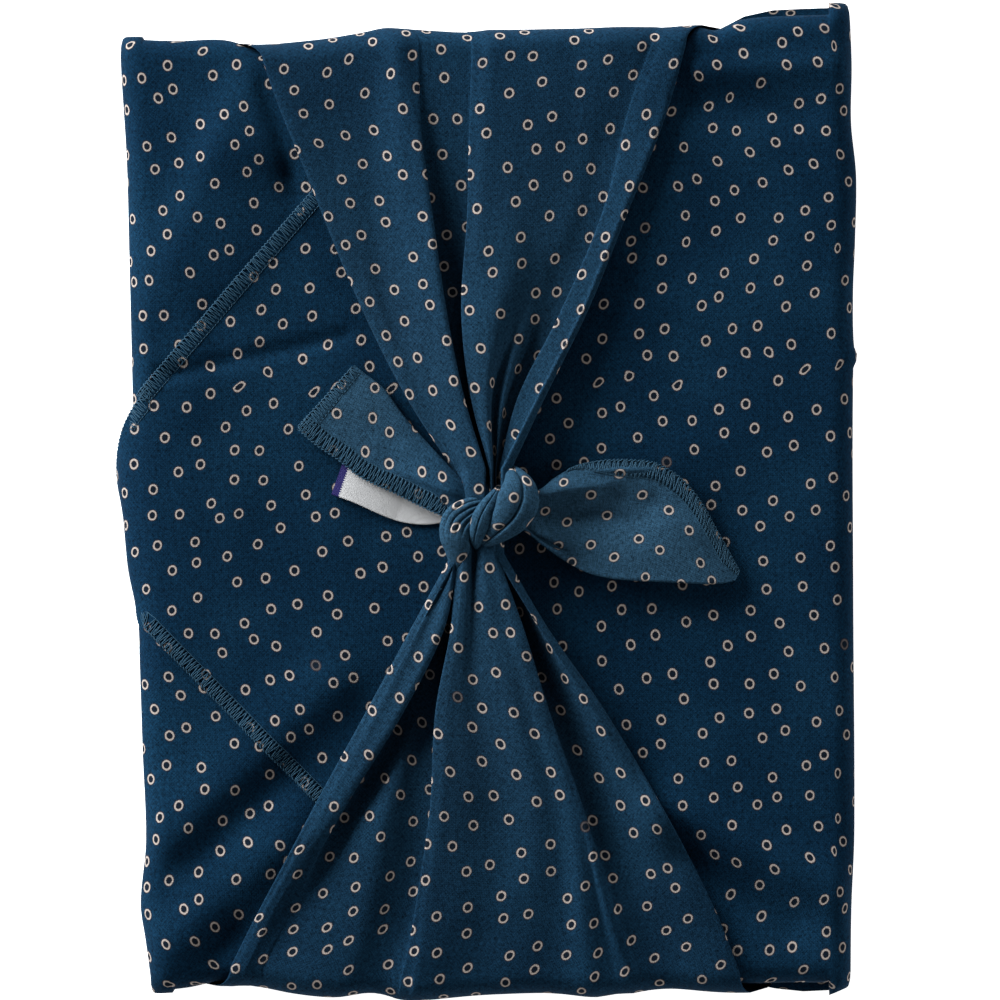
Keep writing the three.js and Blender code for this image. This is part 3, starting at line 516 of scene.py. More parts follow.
def lengths_along(points, axis):
    """Distance run along a grid's rows or columns, starting from 0."""
    steps = np.linalg.norm(np.diff(points, axis=axis), axis=-1)
    start = np.zeros_like(np.take(steps, [0], axis=axis))
    return np.cumsum(np.concatenate([start, steps], axis=axis), axis=axis)


# ---- the body of the wrap
LEFT_PANEL = 1.0
RIGHT_PANEL = 2.0
LEFT_PANEL_COLUMNS = 64
BACK_COLUMNS = 25
RIGHT_PANEL_COLUMNS = 118
BODY_ROWS = 138
TOP_TURNS = np.radians([15, 30, 45, 60, 75, 90])
FOOT_TURNS = np.radians([0, 30, 60, 90])
# A column near the middle of the back, where the print's x is 0.
MIDDLE_COLUMN = LEFT_PANEL_COLUMNS + len(TOP_TURNS) + len(FOOT_TURNS) + BACK_COLUMNS // 2


def crossing(y):
    """The body's columns from the left flap's edge round the back to the right flap's edge: arrays of each
    column's x, its height, the height of the top above it, and its panel, which is 0 off the panels."""
    left = follow(LEFT_EDGE["y"], LEFT_EDGE["x"], y)
    right = follow(RIGHT_EDGE["y"], RIGHT_EDGE["x"], y)
    left_start = left + SIDE_TOP_BEND
    right_start = right - SIDE_TOP_BEND
    columns = []

    def column(x, z, top, panel=0.0):
        columns.append((x, z, top, panel))

    for share in np.linspace(0, 1, LEFT_PANEL_COLUMNS) ** 0.55:
        x = blend(free_edge(LEFT_FLAP_CORNER, y, 1), left_start, share)
        column(x, LEFT_FLAP_Z, LEFT_FLAP_Z, LEFT_PANEL)
    for turn in TOP_TURNS:
        z = LEFT_FLAP_Z - SIDE_TOP_BEND * (1 - np.cos(turn))
        column(left_start - SIDE_TOP_BEND * np.sin(turn), z, LEFT_FLAP_Z)
    for turn in FOOT_TURNS:
        z = BACK_Z + SIDE_FOOT_BEND * (1 - np.sin(turn))
        column(left + SIDE_FOOT_BEND * (1 - np.cos(turn)), z, LEFT_FLAP_Z)
    for share in np.linspace(0, 1, BACK_COLUMNS)[1:]:
        column(blend(left + SIDE_FOOT_BEND, right - SIDE_FOOT_BEND, share), BACK_Z, RIGHT_FLAP_Z)
    for turn in FOOT_TURNS[1:]:
        z = BACK_Z + SIDE_FOOT_BEND * (1 - np.cos(turn))
        column(right - SIDE_FOOT_BEND * (1 - np.sin(turn)), z, RIGHT_FLAP_Z)
    for turn in TOP_TURNS[::-1]:
        z = RIGHT_FLAP_Z - SIDE_TOP_BEND * (1 - np.cos(turn))
        column(right_start + SIDE_TOP_BEND * np.sin(turn), z, RIGHT_FLAP_Z)
    for share in np.linspace(0, 1, RIGHT_PANEL_COLUMNS):
        held, drop = bend_over(blend(right_start, right_flap_edge(y), share), y)
        column(held, RIGHT_FLAP_Z - drop, RIGHT_FLAP_Z, RIGHT_PANEL)
    return [np.stack([np.broadcast_to(value, y.shape) for value in part], axis=1) for part in zip(*columns)]


def add_body(cloth):
    shares = np.linspace(0, 1, BODY_ROWS)
    lip_turns = [(30, 0), (60, 0), (90, 0), (90, 0.5), (90, 1)]
    stations = [(-1, turn, hang, 0.0) for turn, hang in reversed(lip_turns)]
    stations += [(-1 if share < 0.5 else 1, 0, 0, share) for share in shares]
    stations += [(1, turn, hang, 1.0) for turn, hang in lip_turns]
    end, turn, hang, share = (np.array(part, float)[:, None] for part in zip(*stations))
    turn = np.radians(turn)
    plain_y = blend(*PLAIN_ENDS, share[:, 0])
    x, z, top, panel = crossing(plain_y)
    ends = []
    for table, mouth in ((BOTTOM_END, BOTTOM_MOUTH), (TOP_END, TOP_MOUTH)):
        gaping = ease(mouth["start"], mouth["stop"], x)
        inset = np.where(panel > 0, 1.0 + mouth["front_in"] * gaping, -mouth["back_out"] * gaping)
        ends.append(follow(table["x"], table["y"], x) - inset * (1 if table is TOP_END else -1))
    bottom_y, top_y = ends
    height = (z - BACK_Z) / (top - BACK_Z)
    y = blend(bottom_y + END_BEND, top_y - END_BEND, share)
    reach = END_BEND * np.sin(turn)
    full_drop = END_BEND * (1 - np.cos(turn)) + hang * (top - END_BEND - LIP_HEIGHT)
    for mouth, mark in ((TOP_MOUTH, 1), (BOTTOM_MOUTH, -1)):
        gaping = ease(mouth["start"], mouth["stop"], x) * (end == mark)
        held_drop = np.minimum(full_drop, mouth["drop"] * np.sin(turn))
        full_drop = blend(full_drop, held_drop, gaping)
    scale = (top - full_drop - BACK_Z) / (top - BACK_Z)
    tuck = np.where(panel > 0, 0.0, 2 * (1 - np.cos(turn)) * np.sign(x) * height)
    lifted_x = x - tuck
    lifted_y = y + end * reach
    relief = panel_relief(lifted_x, lifted_y) * ease(0.6, 1, height)
    lifted_z = BACK_Z + (z - BACK_Z) * scale + relief
    inside = x - right_flap_edge(plain_y)[:, None]
    over_left = (panel == RIGHT_PANEL) * 1.0
    sunk = (RIGHT_FLAP_Z - LEFT_FLAP_Z - FLAPS_APART) * (1 - ease(0, SINK_REACH, inside)) * over_left
    points = np.stack([lifted_x, lifted_y, lifted_z - sunk], axis=-1)
    across = lengths_along(points, 1)
    across = across - across[:, MIDDLE_COLUMN : MIDDLE_COLUMN + 1]
    places = np.stack([across, lifted_y + end * (full_drop * 0.6)], axis=-1)
    cloth.grid(points, places)


# ---- gathered flaps
def fold_stations(flap, along):
    """The section's stations at each distance from the end, as x and rise: arrays of rows by stations."""
    stations = []
    for fold in flap["folds"]:
        x = follow(FLAP_PLACES, fold["x"], along)
        rise = follow(FLAP_PLACES, fold["rise"], along)
        side = fold.get("side", 0)
        if fold["kind"] == "soft":
            stations.append((x, rise))
        elif fold["kind"] == "edge":
            roll = 0.5 + 0.28 * rise
            under = follow(FLAP_PLACES, TURNED_UNDER, along)
            run = [
                (x - side * under, -HIDDEN_DROP + 0 * x),
                (x - side * (0.3 * under + 6.0), -HIDDEN_DROP + 0 * x),
                (x - side * 6.0, -0.5 * HIDDEN_DROP + 0.1 * rise),
                (x - side * 3.0, rise - 1.1 * roll),
                (x - side * 0.7 * roll, rise - 0.85 * roll),
                (x, rise),
                (x - side * 0.5 * roll, rise + 0.7 * roll),
                (x - side * 1.6 * roll, rise + 1.0 * roll),
            ]
            stations += run if side < 0 else run[::-1]
        else:
            size = follow(FLAP_PLACES, LIP_SIZE, along)
            tuck = np.maximum(0.0, follow(FLAP_PLACES, fold["tuck"], along))
            crisp = np.clip(tuck, 0, 1)
            rounded = 1.0 - crisp
            foot = np.minimum(fold["under"] * rise, rise - 1.4)
            run = [
                (x - side * (1.9 + 1.2 * rounded) * size, rise + 0.1),
                (x - side * (0.6 + 1.0 * rounded) * size, rise - 0.12 - 0.3 * rounded),
                (x + side * 0.4 * rounded, rise - 0.55 - 0.3 * rounded),
                (x - side * (0.35 * tuck - 1.6 * rounded), rise - 0.95 - 0.2 * crisp),
                (x - side * (tuck - 2.4 * rounded), blend(rise - 1.2, foot, crisp)),
            ]
            stations += run if side > 0 else run[::-1]
    x = np.stack([station[0] for station in stations], axis=1)
    rise = np.stack([station[1] for station in stations], axis=1)
    return x, rise


FINE_STEP = 1.05  # about the distance between a section's fine points
FINE_STEPS = (2, 11)  # the fewest and the most of them between two stations


def smooth_section(x, rise):
    """Fine points along a smooth line through each row's stations."""
    stations = np.stack([x, rise], axis=-1)
    chords = np.linalg.norm(np.diff(stations, axis=1), axis=-1) + 1e-6
    parameter = np.concatenate([np.zeros((len(x), 1)), np.cumsum(np.sqrt(chords), axis=1)], axis=1)
    slopes = np.empty_like(stations)
    slopes[:, 1:-1] = (stations[:, 2:] - stations[:, :-2]) / (parameter[:, 2:] - parameter[:, :-2])[..., None]
    slopes[:, 0] = (stations[:, 1] - stations[:, 0]) / (parameter[:, 1] - parameter[:, 0])[:, None]
    slopes[:, -1] = (stations[:, -1] - stations[:, -2]) / (parameter[:, -1] - parameter[:, -2])[:, None]
    fine = []
    for here in range(stations.shape[1] - 1):
        then = here + 1
        span = (parameter[:, then] - parameter[:, here])[:, None]
        steps = int(np.clip(round(float(chords[:, here].mean()) / FINE_STEP), *FINE_STEPS))
        for step in range(steps):
            ends = (stations[:, here], slopes[:, here], stations[:, then], slopes[:, then])
            fine.append(along_curve(step / steps, span, *ends))
    fine.append(stations[:, -1])
    section = np.stack(fine, axis=1)
    return section[..., 0], section[..., 1]


# Rows of a gathered flap, as runs of start, stop and count: the last run goes in under the knot.
FLAP_ROWS = ((FLAP_BEND, 120.0, 82), (121.2, 168.0, 40))
END_TURNS = np.radians([75, 60, 45, 30, 15, 0])
BACK_TURNS = np.radians([90, 60, 30, 0])
FLAP_PAINTED_SHEEN = (0.12, 0.30)  # painted sheen on the dye at the parcel's end, and how much more at the knot


def add_gathered_flap(cloth, flap):
    end = flap["end"]
    along = np.concatenate([np.linspace(*run) for run in FLAP_ROWS])
    x, rise = smooth_section(*fold_stations(flap, along))
    end_x = x[:1]
    outermost = follow(flap["outline"]["x"], flap["outline"]["y"], end_x)
    uneven = (outermost - flap["end_y"]) * (1 - ease(FLAP_BEND, 60, along))[:, None]
    y = flap["end_y"] - end * along[:, None] + uneven
    ripple = 0.22 * rough(x, y * 0.25, 7.0, 11.0) * ease(0.3, 1.4, rise)
    z = RIGHT_FLAP_Z + panel_relief(x, y) + FLAP_REST + np.maximum(rise, -HIDDEN_DROP) + ripple
    front = np.stack([x, y, z], axis=-1)

    top_z = front[0, :, 2]
    end_rise = np.maximum(rise[0], 0.0)
    tucked_in = 1.2 * np.maximum(-rise[0], 0.0)
    share = (end_x[0] - end_x.min()) / (end_x.max() - end_x.min())
    root_x = blend(*flap["root"], share)
    steps = []
    for turn in END_TURNS:
        swell = end_rise * (1 - np.sin(turn)) * 0.3
        inside = FLAP_BEND * (1 - np.cos(turn)) - swell + tucked_in
        steps.append((inside, top_z - FLAP_BEND * (1 - np.sin(turn)) - end_rise * (1 - np.sin(turn)) * 0.7))
    for turn in BACK_TURNS:
        inside = tucked_in + FLAP_FOOT_BEND * (1 - np.sin(turn))
        z = BACK_Z + FLAP_FOOT_BEND - FLAP_FOOT_BEND * np.cos(turn)
        steps.append((inside, z + 0 * top_z))
    steps.append((BACK_TAB, BACK_Z + 0.1 + 0 * top_z))
    over = []
    for inside, z in steps:
        down = 1 - np.clip((z - BACK_Z) / (top_z - BACK_Z), 0, 1)
        x_over = blend(end_x[0], root_x, down)
        over.append(np.stack([x_over, outermost[0] - end * inside, z], axis=-1))
    points = np.concatenate([np.stack(over[::-1]), front])
    across = lengths_along(points, 1)
    middle = int(np.argmin(np.where(rise[0] > 0, np.abs(x[0]), np.inf)))
    across = across - across[:, middle : middle + 1] + x[0, middle]
    down_cloth = lengths_along(points, 0)[:, middle][:, None]
    down_cloth = end * (abs(flap["end_y"]) - BACK_TAB + down_cloth)
    # painted sheen on the flap grows towards the knot
    to_knot = np.concatenate([np.zeros(len(over)), ease(0, 150, along)])[:, None]
    painted_sheen = to_knot * FLAP_PAINTED_SHEEN[1] + FLAP_PAINTED_SHEEN[0]
    cloth.grid(points, np.stack([across, np.broadcast_to(down_cloth, across.shape)], axis=-1), painted_sheen=painted_sheen)


# ---- knot
STRAND_ROWS = 68
STRAND_COLUMNS = 62
STRANDS_FACE = 9.0  # the strands face away from a place this far under the knot's heart
HEART_PRINT = 9.0  # the print on the knot's heart is scaled for a ball of this radius


def add_strand(cloth, strand, seed):
    """A strand with a creased top and a shallow underside, bent along its line and facing out of the knot."""
    count = len(strand["line"])
    at = np.linspace(0, count - 1, STRAND_ROWS)
    line = follow(np.arange(count), np.array(strand["line"], float), at)
    half = follow(np.arange(count), strand["half"], at)[:, None]
    thick = follow(np.arange(count), strand["thick"], at)[:, None]
    ahead = unit(np.gradient(line, axis=0))
    under = np.array(KNOT_HEART["centre"]) - np.array([0, 0, STRANDS_FACE])
    out = 0.55 * unit(line - under) + np.array([0, 0, 0.75])
    sideways = unit(np.cross(ahead, out))
    up = np.cross(sideways, ahead)

    def lay(aside, height):
        return line[:, None] + sideways[:, None] * aside[..., None] + up[:, None] * height[..., None]

    share = np.linspace(-1, 1, STRAND_COLUMNS)[None, :]
    profile = np.power(np.maximum(0.0, 1 - np.abs(share) ** 2.2), 0.55)
    along = at / (count - 1)
    swell = np.sin(np.pi * np.clip(along, 0.02, 0.98)) ** 0.4
    height = thick / 2 * profile
    for number, (crease, depth) in enumerate(strand["creases"]):
        wander = crease + 0.08 * np.sin(3.0 * along + 1.7 * number + seed)
        away = share - wander[:, None]
        flank = np.where(away > 0, 0.13, 0.05)
        fading = swell * (1 - ease(strand["crease_stop"] - 0.14, strand["crease_stop"] + 0.06, along))
        height = height - depth * fading[:, None] * np.exp(-np.abs(away / flank) ** 1.1)
    height += 0.12 * rough(share * 4.0, along[:, None] * 20.0, 2.0, seed)
    low_share = np.linspace(1, -1, 12)[None, 1:-1]
    low_height = -thick * 0.35 * np.sqrt(1 - low_share**2)
    points = np.concatenate([lay(half * share, height), lay(half * low_share, low_height)], axis=1)
    down = np.broadcast_to(lengths_along(line, 0)[:, None], points.shape[:2])
    places = turn_places(np.stack([lengths_along(points, 1), down], axis=-1), 45.0)
    # the knot's strands carry full painted sheen
    cloth.grid(points, places + np.array([seed * 37.0, seed * 21.0 + 240.0]), ring=True, painted_sheen=1.0)


def add_knot_heart(cloth):
    """The plain lump inside the knot that the strands lie on."""
    down = np.linspace(0.02, math.pi - 0.02, 14)[:, None]
    around = np.linspace(0, 2 * math.pi, 29)[None, :-1]
    down, around = np.broadcast_arrays(down, around)
    ball = np.stack([np.sin(down) * np.cos(around), np.sin(down) * np.sin(around), np.cos(down)], axis=-1)
    points = np.array(KNOT_HEART["centre"]) + np.array(KNOT_HEART["radii"]) * ball
    places = np.stack([around, down], axis=-1) * HEART_PRINT
    cloth.grid(points, places + 300.0, ring=True)


def turn_places(places, degrees):
    angle = math.radians(degrees)
    turn = np.array([[math.cos(angle), -math.sin(angle)], [math.sin(angle), math.cos(angle)]])
    return places @ turn.T


# ---- tails
def tail_point(tail, along, across):
    """Points of a tail: along is 0 at the knot and 1 at the free end, across is 0 at its lower edge."""
    upper = np.array(tail["upper"], float)
    lower = np.array(tail["lower"], float)
    station = np.asarray(along, float) * (len(upper) - 1)
    number = np.arange(len(upper))
    top = follow(number, upper, station)
    low = follow(number, lower, station)
    arch = follow(number, tail["arch"], station)
    share = np.asarray(across, float)
    point = low + (top - low) * share[..., None]
    bulge = arch * (1 - np.abs(2 * share - 1) ** 2.4)
    relief = np.zeros_like(bulge)
    for start, stop, width_right, width_left, rise in tail["creases"]:
        relief = relief + crisp_fold(point[..., 0], point[..., 1], start, stop, width_right, width_left, rise)
    relief = relief + 0.18 * rough(point[..., 0], point[..., 1], 6.0, 3.0)
    point[..., 2] += bulge + relief * ease(0.0, 0.06, share) * ease(1.0, 0.94, share)
    return point


# Where the cloth goes at a tail's folded edge: how far inward and how far down.
FOLDED_EDGE = ((-0.45, -0.35), (-0.35, -0.95), (0.5, -1.3), (3.5, -1.5))


def add_tail(cloth, tail, seed):
    rows, columns = tail["grid"]
    along, across = np.broadcast_arrays(np.linspace(0, 1, rows)[:, None], np.linspace(0, 1, columns)[None, :])
    points = tail_point(tail, along, across)
    at = 1.0 if tail["fold_edge"] == "upper" else 0.0
    rim = tail_point(tail, along[:, 0], np.full(rows, at))
    inward = tail_point(tail, along[:, 0], np.full(rows, abs(at - 0.2))) - rim
    inward[:, 2] = 0
    inward = unit(inward)
    turned = np.stack([rim + inward * reach + np.array([0, 0, drop]) for reach, drop in FOLDED_EDGE], axis=1)
    points = np.concatenate([points, turned] if at else [turned[:, ::-1], points], axis=1)
    u = lengths_along(points, 1)
    v = lengths_along(points, 0).mean(axis=1)[:, None]
    places = np.stack([u - u.mean(axis=1)[:, None], np.broadcast_to(v, u.shape)], axis=-1)
    # painted sheen along the tail, from its table
    painted_sheen = np.interp(np.linspace(0, 1, rows), (0.1, 0.75), tail["painted_sheen"])[:, None]
    cloth.grid(points, turn_places(places, 45.0) + np.array([seed * 53.0, 330.0]), painted_sheen=painted_sheen)


# ---- overlocked hems
class ThreadMesh(GridMesh):
    """Runs of sewing thread as joined square tubes."""

    def run(self, path, radius):
        ahead = unit(np.gradient(path, axis=0), 1e-9)
        side = unit(np.cross(ahead, np.array([0.13, 0.21, 1.0])), 1e-9)
        up = np.cross(side, ahead)
        corners = [path + radius * (c * side + s * up) for c, s in ((1, 0), (0, 1), (-1, 0), (0, -1))]
        self.add_grid(np.stack(corners, axis=1), ring=True)


# One stitch of the looper thread: share of the stitch, share of the hem's width, height over the cloth.
LOOPER_STITCH = (
    (0.00, 0.02, 0.10), (0.10, 0.22, 0.32), (0.22, 0.55, 0.36), (0.34, 0.88, 0.30),
    (0.46, 1.05, -0.05), (0.58, 0.92, 0.26), (0.68, 0.60, 0.36), (0.82, 0.26, 0.34), (0.92, 0.06, 0.20),
)


def overlock(threads, outer, inner, seed):
    """Sews a hem between its outer edge and its needle line, both runs of matched points."""
    random.seed(seed)
    run = lengths_along(outer, 0)
    stitches = int(run[-1] / STITCH_LENGTH)
    share = run / run[-1]
    up = np.array([0.0, 0.0, 1.0])

    def on_line(line, at):
        return np.stack([np.interp(np.clip(at, 0, 1), share, line[:, part]) for part in range(3)], axis=-1)

    def place(at, across, height):
        rim = on_line(outer, at)
        needle = on_line(inner, at)
        return needle + (rim - needle) * across[:, None] + up * height[:, None]

    looper = []
    for stitch in range(stitches):
        lean = random.uniform(-0.30, 0.30)
        reach = random.uniform(0.93, 1.05)
        for part, across, height in LOOPER_STITCH:
            looper.append((stitch + part + lean * across, across * reach + random.uniform(-0.03, 0.03),
                           height + random.uniform(-0.04, 0.08)))
    at, across, height = (np.array(part) for part in zip(*looper))
    threads.run(place(at / stitches, across, height), THREAD_RADIUS)
    quarters = np.arange(stitches * 4)
    wave = np.sin(quarters * math.pi / 2)
    swing = np.cos(quarters * math.pi / 2)
    at = quarters / (stitches * 4)
    threads.run(place(at, 1.0 + 0.05 * wave, 0.12 + 0.18 * swing), 1.25 * THREAD_RADIUS)
    threads.run(place(at, 0.012 * wave, 0.03 + 0.06 * wave), 0.8 * THREAD_RADIUS)


FLAP_HEM_RUN = (118, -116, 420)  # y where the sewn hem starts and stops, and its points


def flap_hem_lines():
    """The edge and the needle line of the hem on the right flap's free edge."""
    y = np.linspace(*FLAP_HEM_RUN)
    x = right_flap_edge(y)
    slope = np.gradient(x, y)
    inward = unit(np.stack([np.ones_like(slope), -slope], axis=-1))
    lines = []
    for depth in (0.0, HEM_WIDTH):
        edge_y = y + inward[:, 1] * depth
        held, drop = bend_over(x + inward[:, 0] * depth, edge_y)
        lines.append(np.stack([held, edge_y, right_flap_z(held, edge_y) - drop + 0.05], axis=-1))
    return lines


TAIL_HEM_POINTS = 240


def tail_hem_lines(tail, edge):
    """The edge and the needle line of the hem on one edge of a tail."""
    at = np.linspace(0.02, 1.0, TAIL_HEM_POINTS)
    full = np.ones(TAIL_HEM_POINTS)
    if edge == "end":
        outer = tail_point(tail, full, 1 - at)
        length = np.linalg.norm(outer - tail_point(tail, 0.5 * full, 1 - at), axis=1)
        return outer, tail_point(tail, 1 - 0.5 * TAIL_HEM_WIDTH / length, 1 - at)
    side, start = (1.0, 0.22) if edge == "upper" else (0.0, 0.02)
    at = start + (1 - start) * at
    width = np.linalg.norm(tail_point(tail, at, 0 * full) - tail_point(tail, at, full), axis=1)
    opening = 0.08 + 0.92 * ease(start, start + 0.22, at)
    inner = tail_point(tail, at, np.abs(side - np.minimum(0.45, opening * TAIL_HEM_WIDTH / width)))
    return tail_point(tail, at, side * full), inner


# ======== materials
class Sock:
    """A shader socket that can be used in sums."""

    def __init__(self, tree, socket):
        self.tree = tree
        self.socket = socket

    def maths(self, operation, *values):
        return self.tree.node("ShaderNodeMath", {"operation": operation}, [self, *values])

    def __add__(self, other):
        return self.maths("ADD", other)

    def __sub__(self, other):
        return self.maths("SUBTRACT", other)

    def __mul__(self, other):
        return self.maths("MULTIPLY", other)

    def __radd__(self, other):
        return self + other

    def __rsub__(self, other):
        return self.tree.node("ShaderNodeMath", {"operation": "SUBTRACT"}, [other, self])

    def __rmul__(self, other):
        return self * other

    def absolute(self):
        return self.maths("ABSOLUTE")

    def sine(self):
        return self.maths("SINE")

    def most(self, other):
        return self.maths("MAXIMUM", other)

    def between(self, start, stop):
        """0 below start, 1 above stop, smooth between them."""
        settings = {"interpolation_type": "SMOOTHSTEP"}
        values = {"Value": self, "From Min": start, "From Max": stop}
        return self.tree.node("ShaderNodeMapRange", settings, values)


class Finish:
    """A material and its nodes."""

    def __init__(self, name):
        self.material = bpy.data.materials.new(name)
        self.material.use_nodes = True
        self.nodes = self.material.node_tree.nodes
        self.links = self.material.node_tree.links
        self.shader = self.nodes["Principled BSDF"]

    def node(self, kind, settings=None, values=None, out=0):
        node = self.nodes.new(kind)
        for name, value in (settings or {}).items():
            setattr(node, name, value)
        pairs = enumerate(values) if isinstance(values, (list, tuple)) else (values or {}).items()
        for key, value in pairs:
            if isinstance(value, Sock):
                self.links.new(value.socket, node.inputs[key])
            else:
                node.inputs[key].default_value = value
        return Sock(self, node.outputs[out])

    def vector(self, operation, *values, out=0):
        return self.node("ShaderNodeVectorMath", {"operation": operation}, list(values), out)

    def mix(self, share, first, second):
        settings = {"data_type": "RGBA"}
        return self.node("ShaderNodeMix", settings, {0: share, 6: first, 7: second}, 2)

    def noise(self, place, scale, detail, dimensions="2D", out=0):
        """Noise between 0 and 1, or three of them as a colour where out is 1."""
        values = {"Vector": place, "Scale": scale, "Detail": detail}
        return self.node("ShaderNodeTexNoise", {"noise_dimensions": dimensions}, values, out)

    def turned(self, place, degrees, scale=(1, 1, 1)):
        """A place turned about Z and scaled."""
        values = {"Vector": place, "Rotation": (0, 0, math.radians(degrees)), "Scale": scale}
        return self.node("ShaderNodeMapping", {"vector_type": "POINT"}, values)

    def toned(self, colour, tone):
        """A colour made lighter or darker by a number."""
        return self.vector("MULTIPLY", colour, self.node("ShaderNodeCombineXYZ", None, [tone] * 3))

    def relief(self, strength, distance, height):
        bump = {"Strength": strength, "Distance": distance * MM, "Height": height}
        self.feed("Normal", self.node("ShaderNodeBump", None, bump))

    def feed(self, name, value):
        if isinstance(value, Sock):
            self.links.new(value.socket, self.shader.inputs[name])
        else:
            self.shader.inputs[name].default_value = value


NAVY = (0.0018, 0.0132, 0.0310, 1)
NAVY_WORN = (0.0028, 0.0178, 0.0395, 1)
# painted sheen: a paler, greyer navy that stands in for light on the knot, tails and gathered flaps
NAVY_PAINTED_SHEEN = (0.0143, 0.0420, 0.0735, 1)
NAVY_DEEP = (0.0050, 0.0070, 0.0110, 1)
RING_PALE = (0.300, 0.264, 0.240, 1)
RING_BROWN = (0.024, 0.013, 0.010, 1)
THREAD_DARK = (0.010, 0.040, 0.072, 1)
THREAD_LIGHT = (0.024, 0.072, 0.118, 1)
LABEL_BORDER = (0.010, 0.008, 0.085, 1)
LABEL_WHITE = (0.44, 0.45, 0.46)
# Waves to a metre in each noise.
NOISE = {"dye": 22.0, "grain": 1300.0, "toss": 14.0, "fray": 900.0, "wear": 1500.0, "ply": 2200.0,
         "satin": 900.0, "floor": 3.0}
FLOOR_GREYS = ((0.93, 0.93, 0.93, 1), (0.95, 0.95, 0.95, 1))
FLOOR_GLOW = 0.9  # the floor glows a little, so that it stays white round the cloth


def thread_lines(finish, place):
    """Plain weave on the bias: where each set of threads lies on top, and how thick the threads are."""
    turned = finish.turned(place, 45)
    along, across = [finish.node("ShaderNodeSeparateXYZ", None, [turned], axis) for axis in (0, 1)]
    turn = math.pi / (WEAVE_PITCH * MM)
    over = (along * turn).sine() * (across * turn).sine()
    fine, long = [1 / (size * MM) for size in SLUB_SIZE]
    warp_slub = finish.noise(finish.vector("MULTIPLY", turned, (fine, long, 0)), 1.0, 1.0)
    weft_slub = finish.noise(finish.vector("MULTIPLY", turned, (long, fine, 0)), 1.0, 1.0)
    return over, warp_slub + weft_slub - 1.0


def ring_place(finish, place):
    """The place on the cloth with its cells bent out of line and the rings' outlines frayed."""
    middle = (0.5, 0.5, 0.5)
    bent = finish.vector("SUBTRACT", finish.noise(place, NOISE["toss"], 0.0, out=1), middle)
    tossed = finish.vector("MULTIPLY_ADD", bent, (RING_TOSS * MM, RING_TOSS * MM, 0), place)
    fray = finish.vector("SUBTRACT", finish.noise(place, NOISE["fray"], 1.0, out=1), middle)
    ragged = finish.vector("MULTIPLY_ADD", fray, (RING_FRAY * MM, RING_FRAY * MM, 0), tossed)
    return finish.turned(ragged, RING_TURN, RING_STRETCH)


def ring_print(finish, place):
    """Scattered rings: how much of each place is printed ring, ring's inside and brown halo."""
    cells = {"Vector": ring_place(finish, place), "Scale": 1 / (RING_CELL * MM), "Randomness": 0.5}
    away = finish.node("ShaderNodeTexVoronoi", {"voronoi_dimensions": "2D"}, cells, "Distance") * RING_CELL
    chance = finish.node("ShaderNodeTexVoronoi", {"voronoi_dimensions": "2D"}, cells, "Color")
    luck = finish.node("ShaderNodeSeparateColor", None, [chance])
    half = RING_STROKE / 2
    off_stroke = (away - RING_RADIUS).absolute()
    stroke = 1.0 - off_stroke.between(half - RING_SOFTNESS, half + RING_SOFTNESS)
    inside = 1.0 - away.between(RING_RADIUS - half - 0.2, RING_RADIUS - half + 0.1)
    halo = 1.0 - off_stroke.between(half + 0.1, half + 0.55)
    faded = luck.between(*RING_FAINT)
    wear = finish.noise(place, NOISE["wear"], 2.0)
    ink = stroke * (1.0 - faded * 0.8) * (wear.between(0.2, 0.45) * 0.25 + 0.75)
    return ink, inside, halo


def printed_cotton():
    """Navy cotton in plain weave with pale rings, and painted sheen that makes it paler on the knot, tails
    and flaps.
    """
    finish = Finish("printed_cotton")
    place = finish.node("ShaderNodeUVMap", {"uv_map": "flat_cloth"})
    over, slub = thread_lines(finish, place)
    ink, inside, halo = ring_print(finish, place)
    dye = finish.mix(finish.noise(place, NOISE["dye"], 3.0).between(0.35, 0.7), NAVY, NAVY_WORN)
    # painted sheen: the dye is mixed towards a pale, grey navy by the share stored on the mesh
    painted_sheen = finish.node("ShaderNodeAttribute", {"attribute_name": "painted_sheen"}, None, 2)
    dye = finish.mix(painted_sheen, dye, NAVY_PAINTED_SHEEN)
    grain = finish.noise(place, NOISE["grain"], 1.0)
    dye = finish.toned(dye, (over * 0.20 + slub * 1.3 + (grain - 0.5) * 0.7 + 1.0).most(0.25))
    printed = finish.mix(halo * 0.55, dye, RING_BROWN)
    printed = finish.mix(inside * 0.8, printed, NAVY_DEEP)
    finish.feed("Base Color", finish.mix(ink, printed, RING_PALE))
    finish.feed("Roughness", 0.85 + over * 0.04)
    finish.feed("Specular IOR Level", 0.02)
    finish.feed("Sheen Weight", 0.01)
    finish.feed("Sheen Roughness", 0.45)
    finish.feed("Sheen Tint", (0.55, 0.72, 0.9, 1))
    finish.relief(0.35, 0.12, over * 0.5 + slub * 1.2)
    return finish.material


def overlock_thread():
    finish = Finish("overlock_thread")
    place = finish.node("ShaderNodeTexCoord", None, None, 3)
    ply = finish.noise(place, NOISE["ply"], 2.0, "3D")
    finish.feed("Base Color", finish.mix(ply.between(0.3, 0.7), THREAD_DARK, THREAD_LIGHT))
    finish.feed("Roughness", 0.7)
    finish.feed("Specular IOR Level", 0.15)
    finish.relief(0.4, 0.08, ply)
    return finish.material


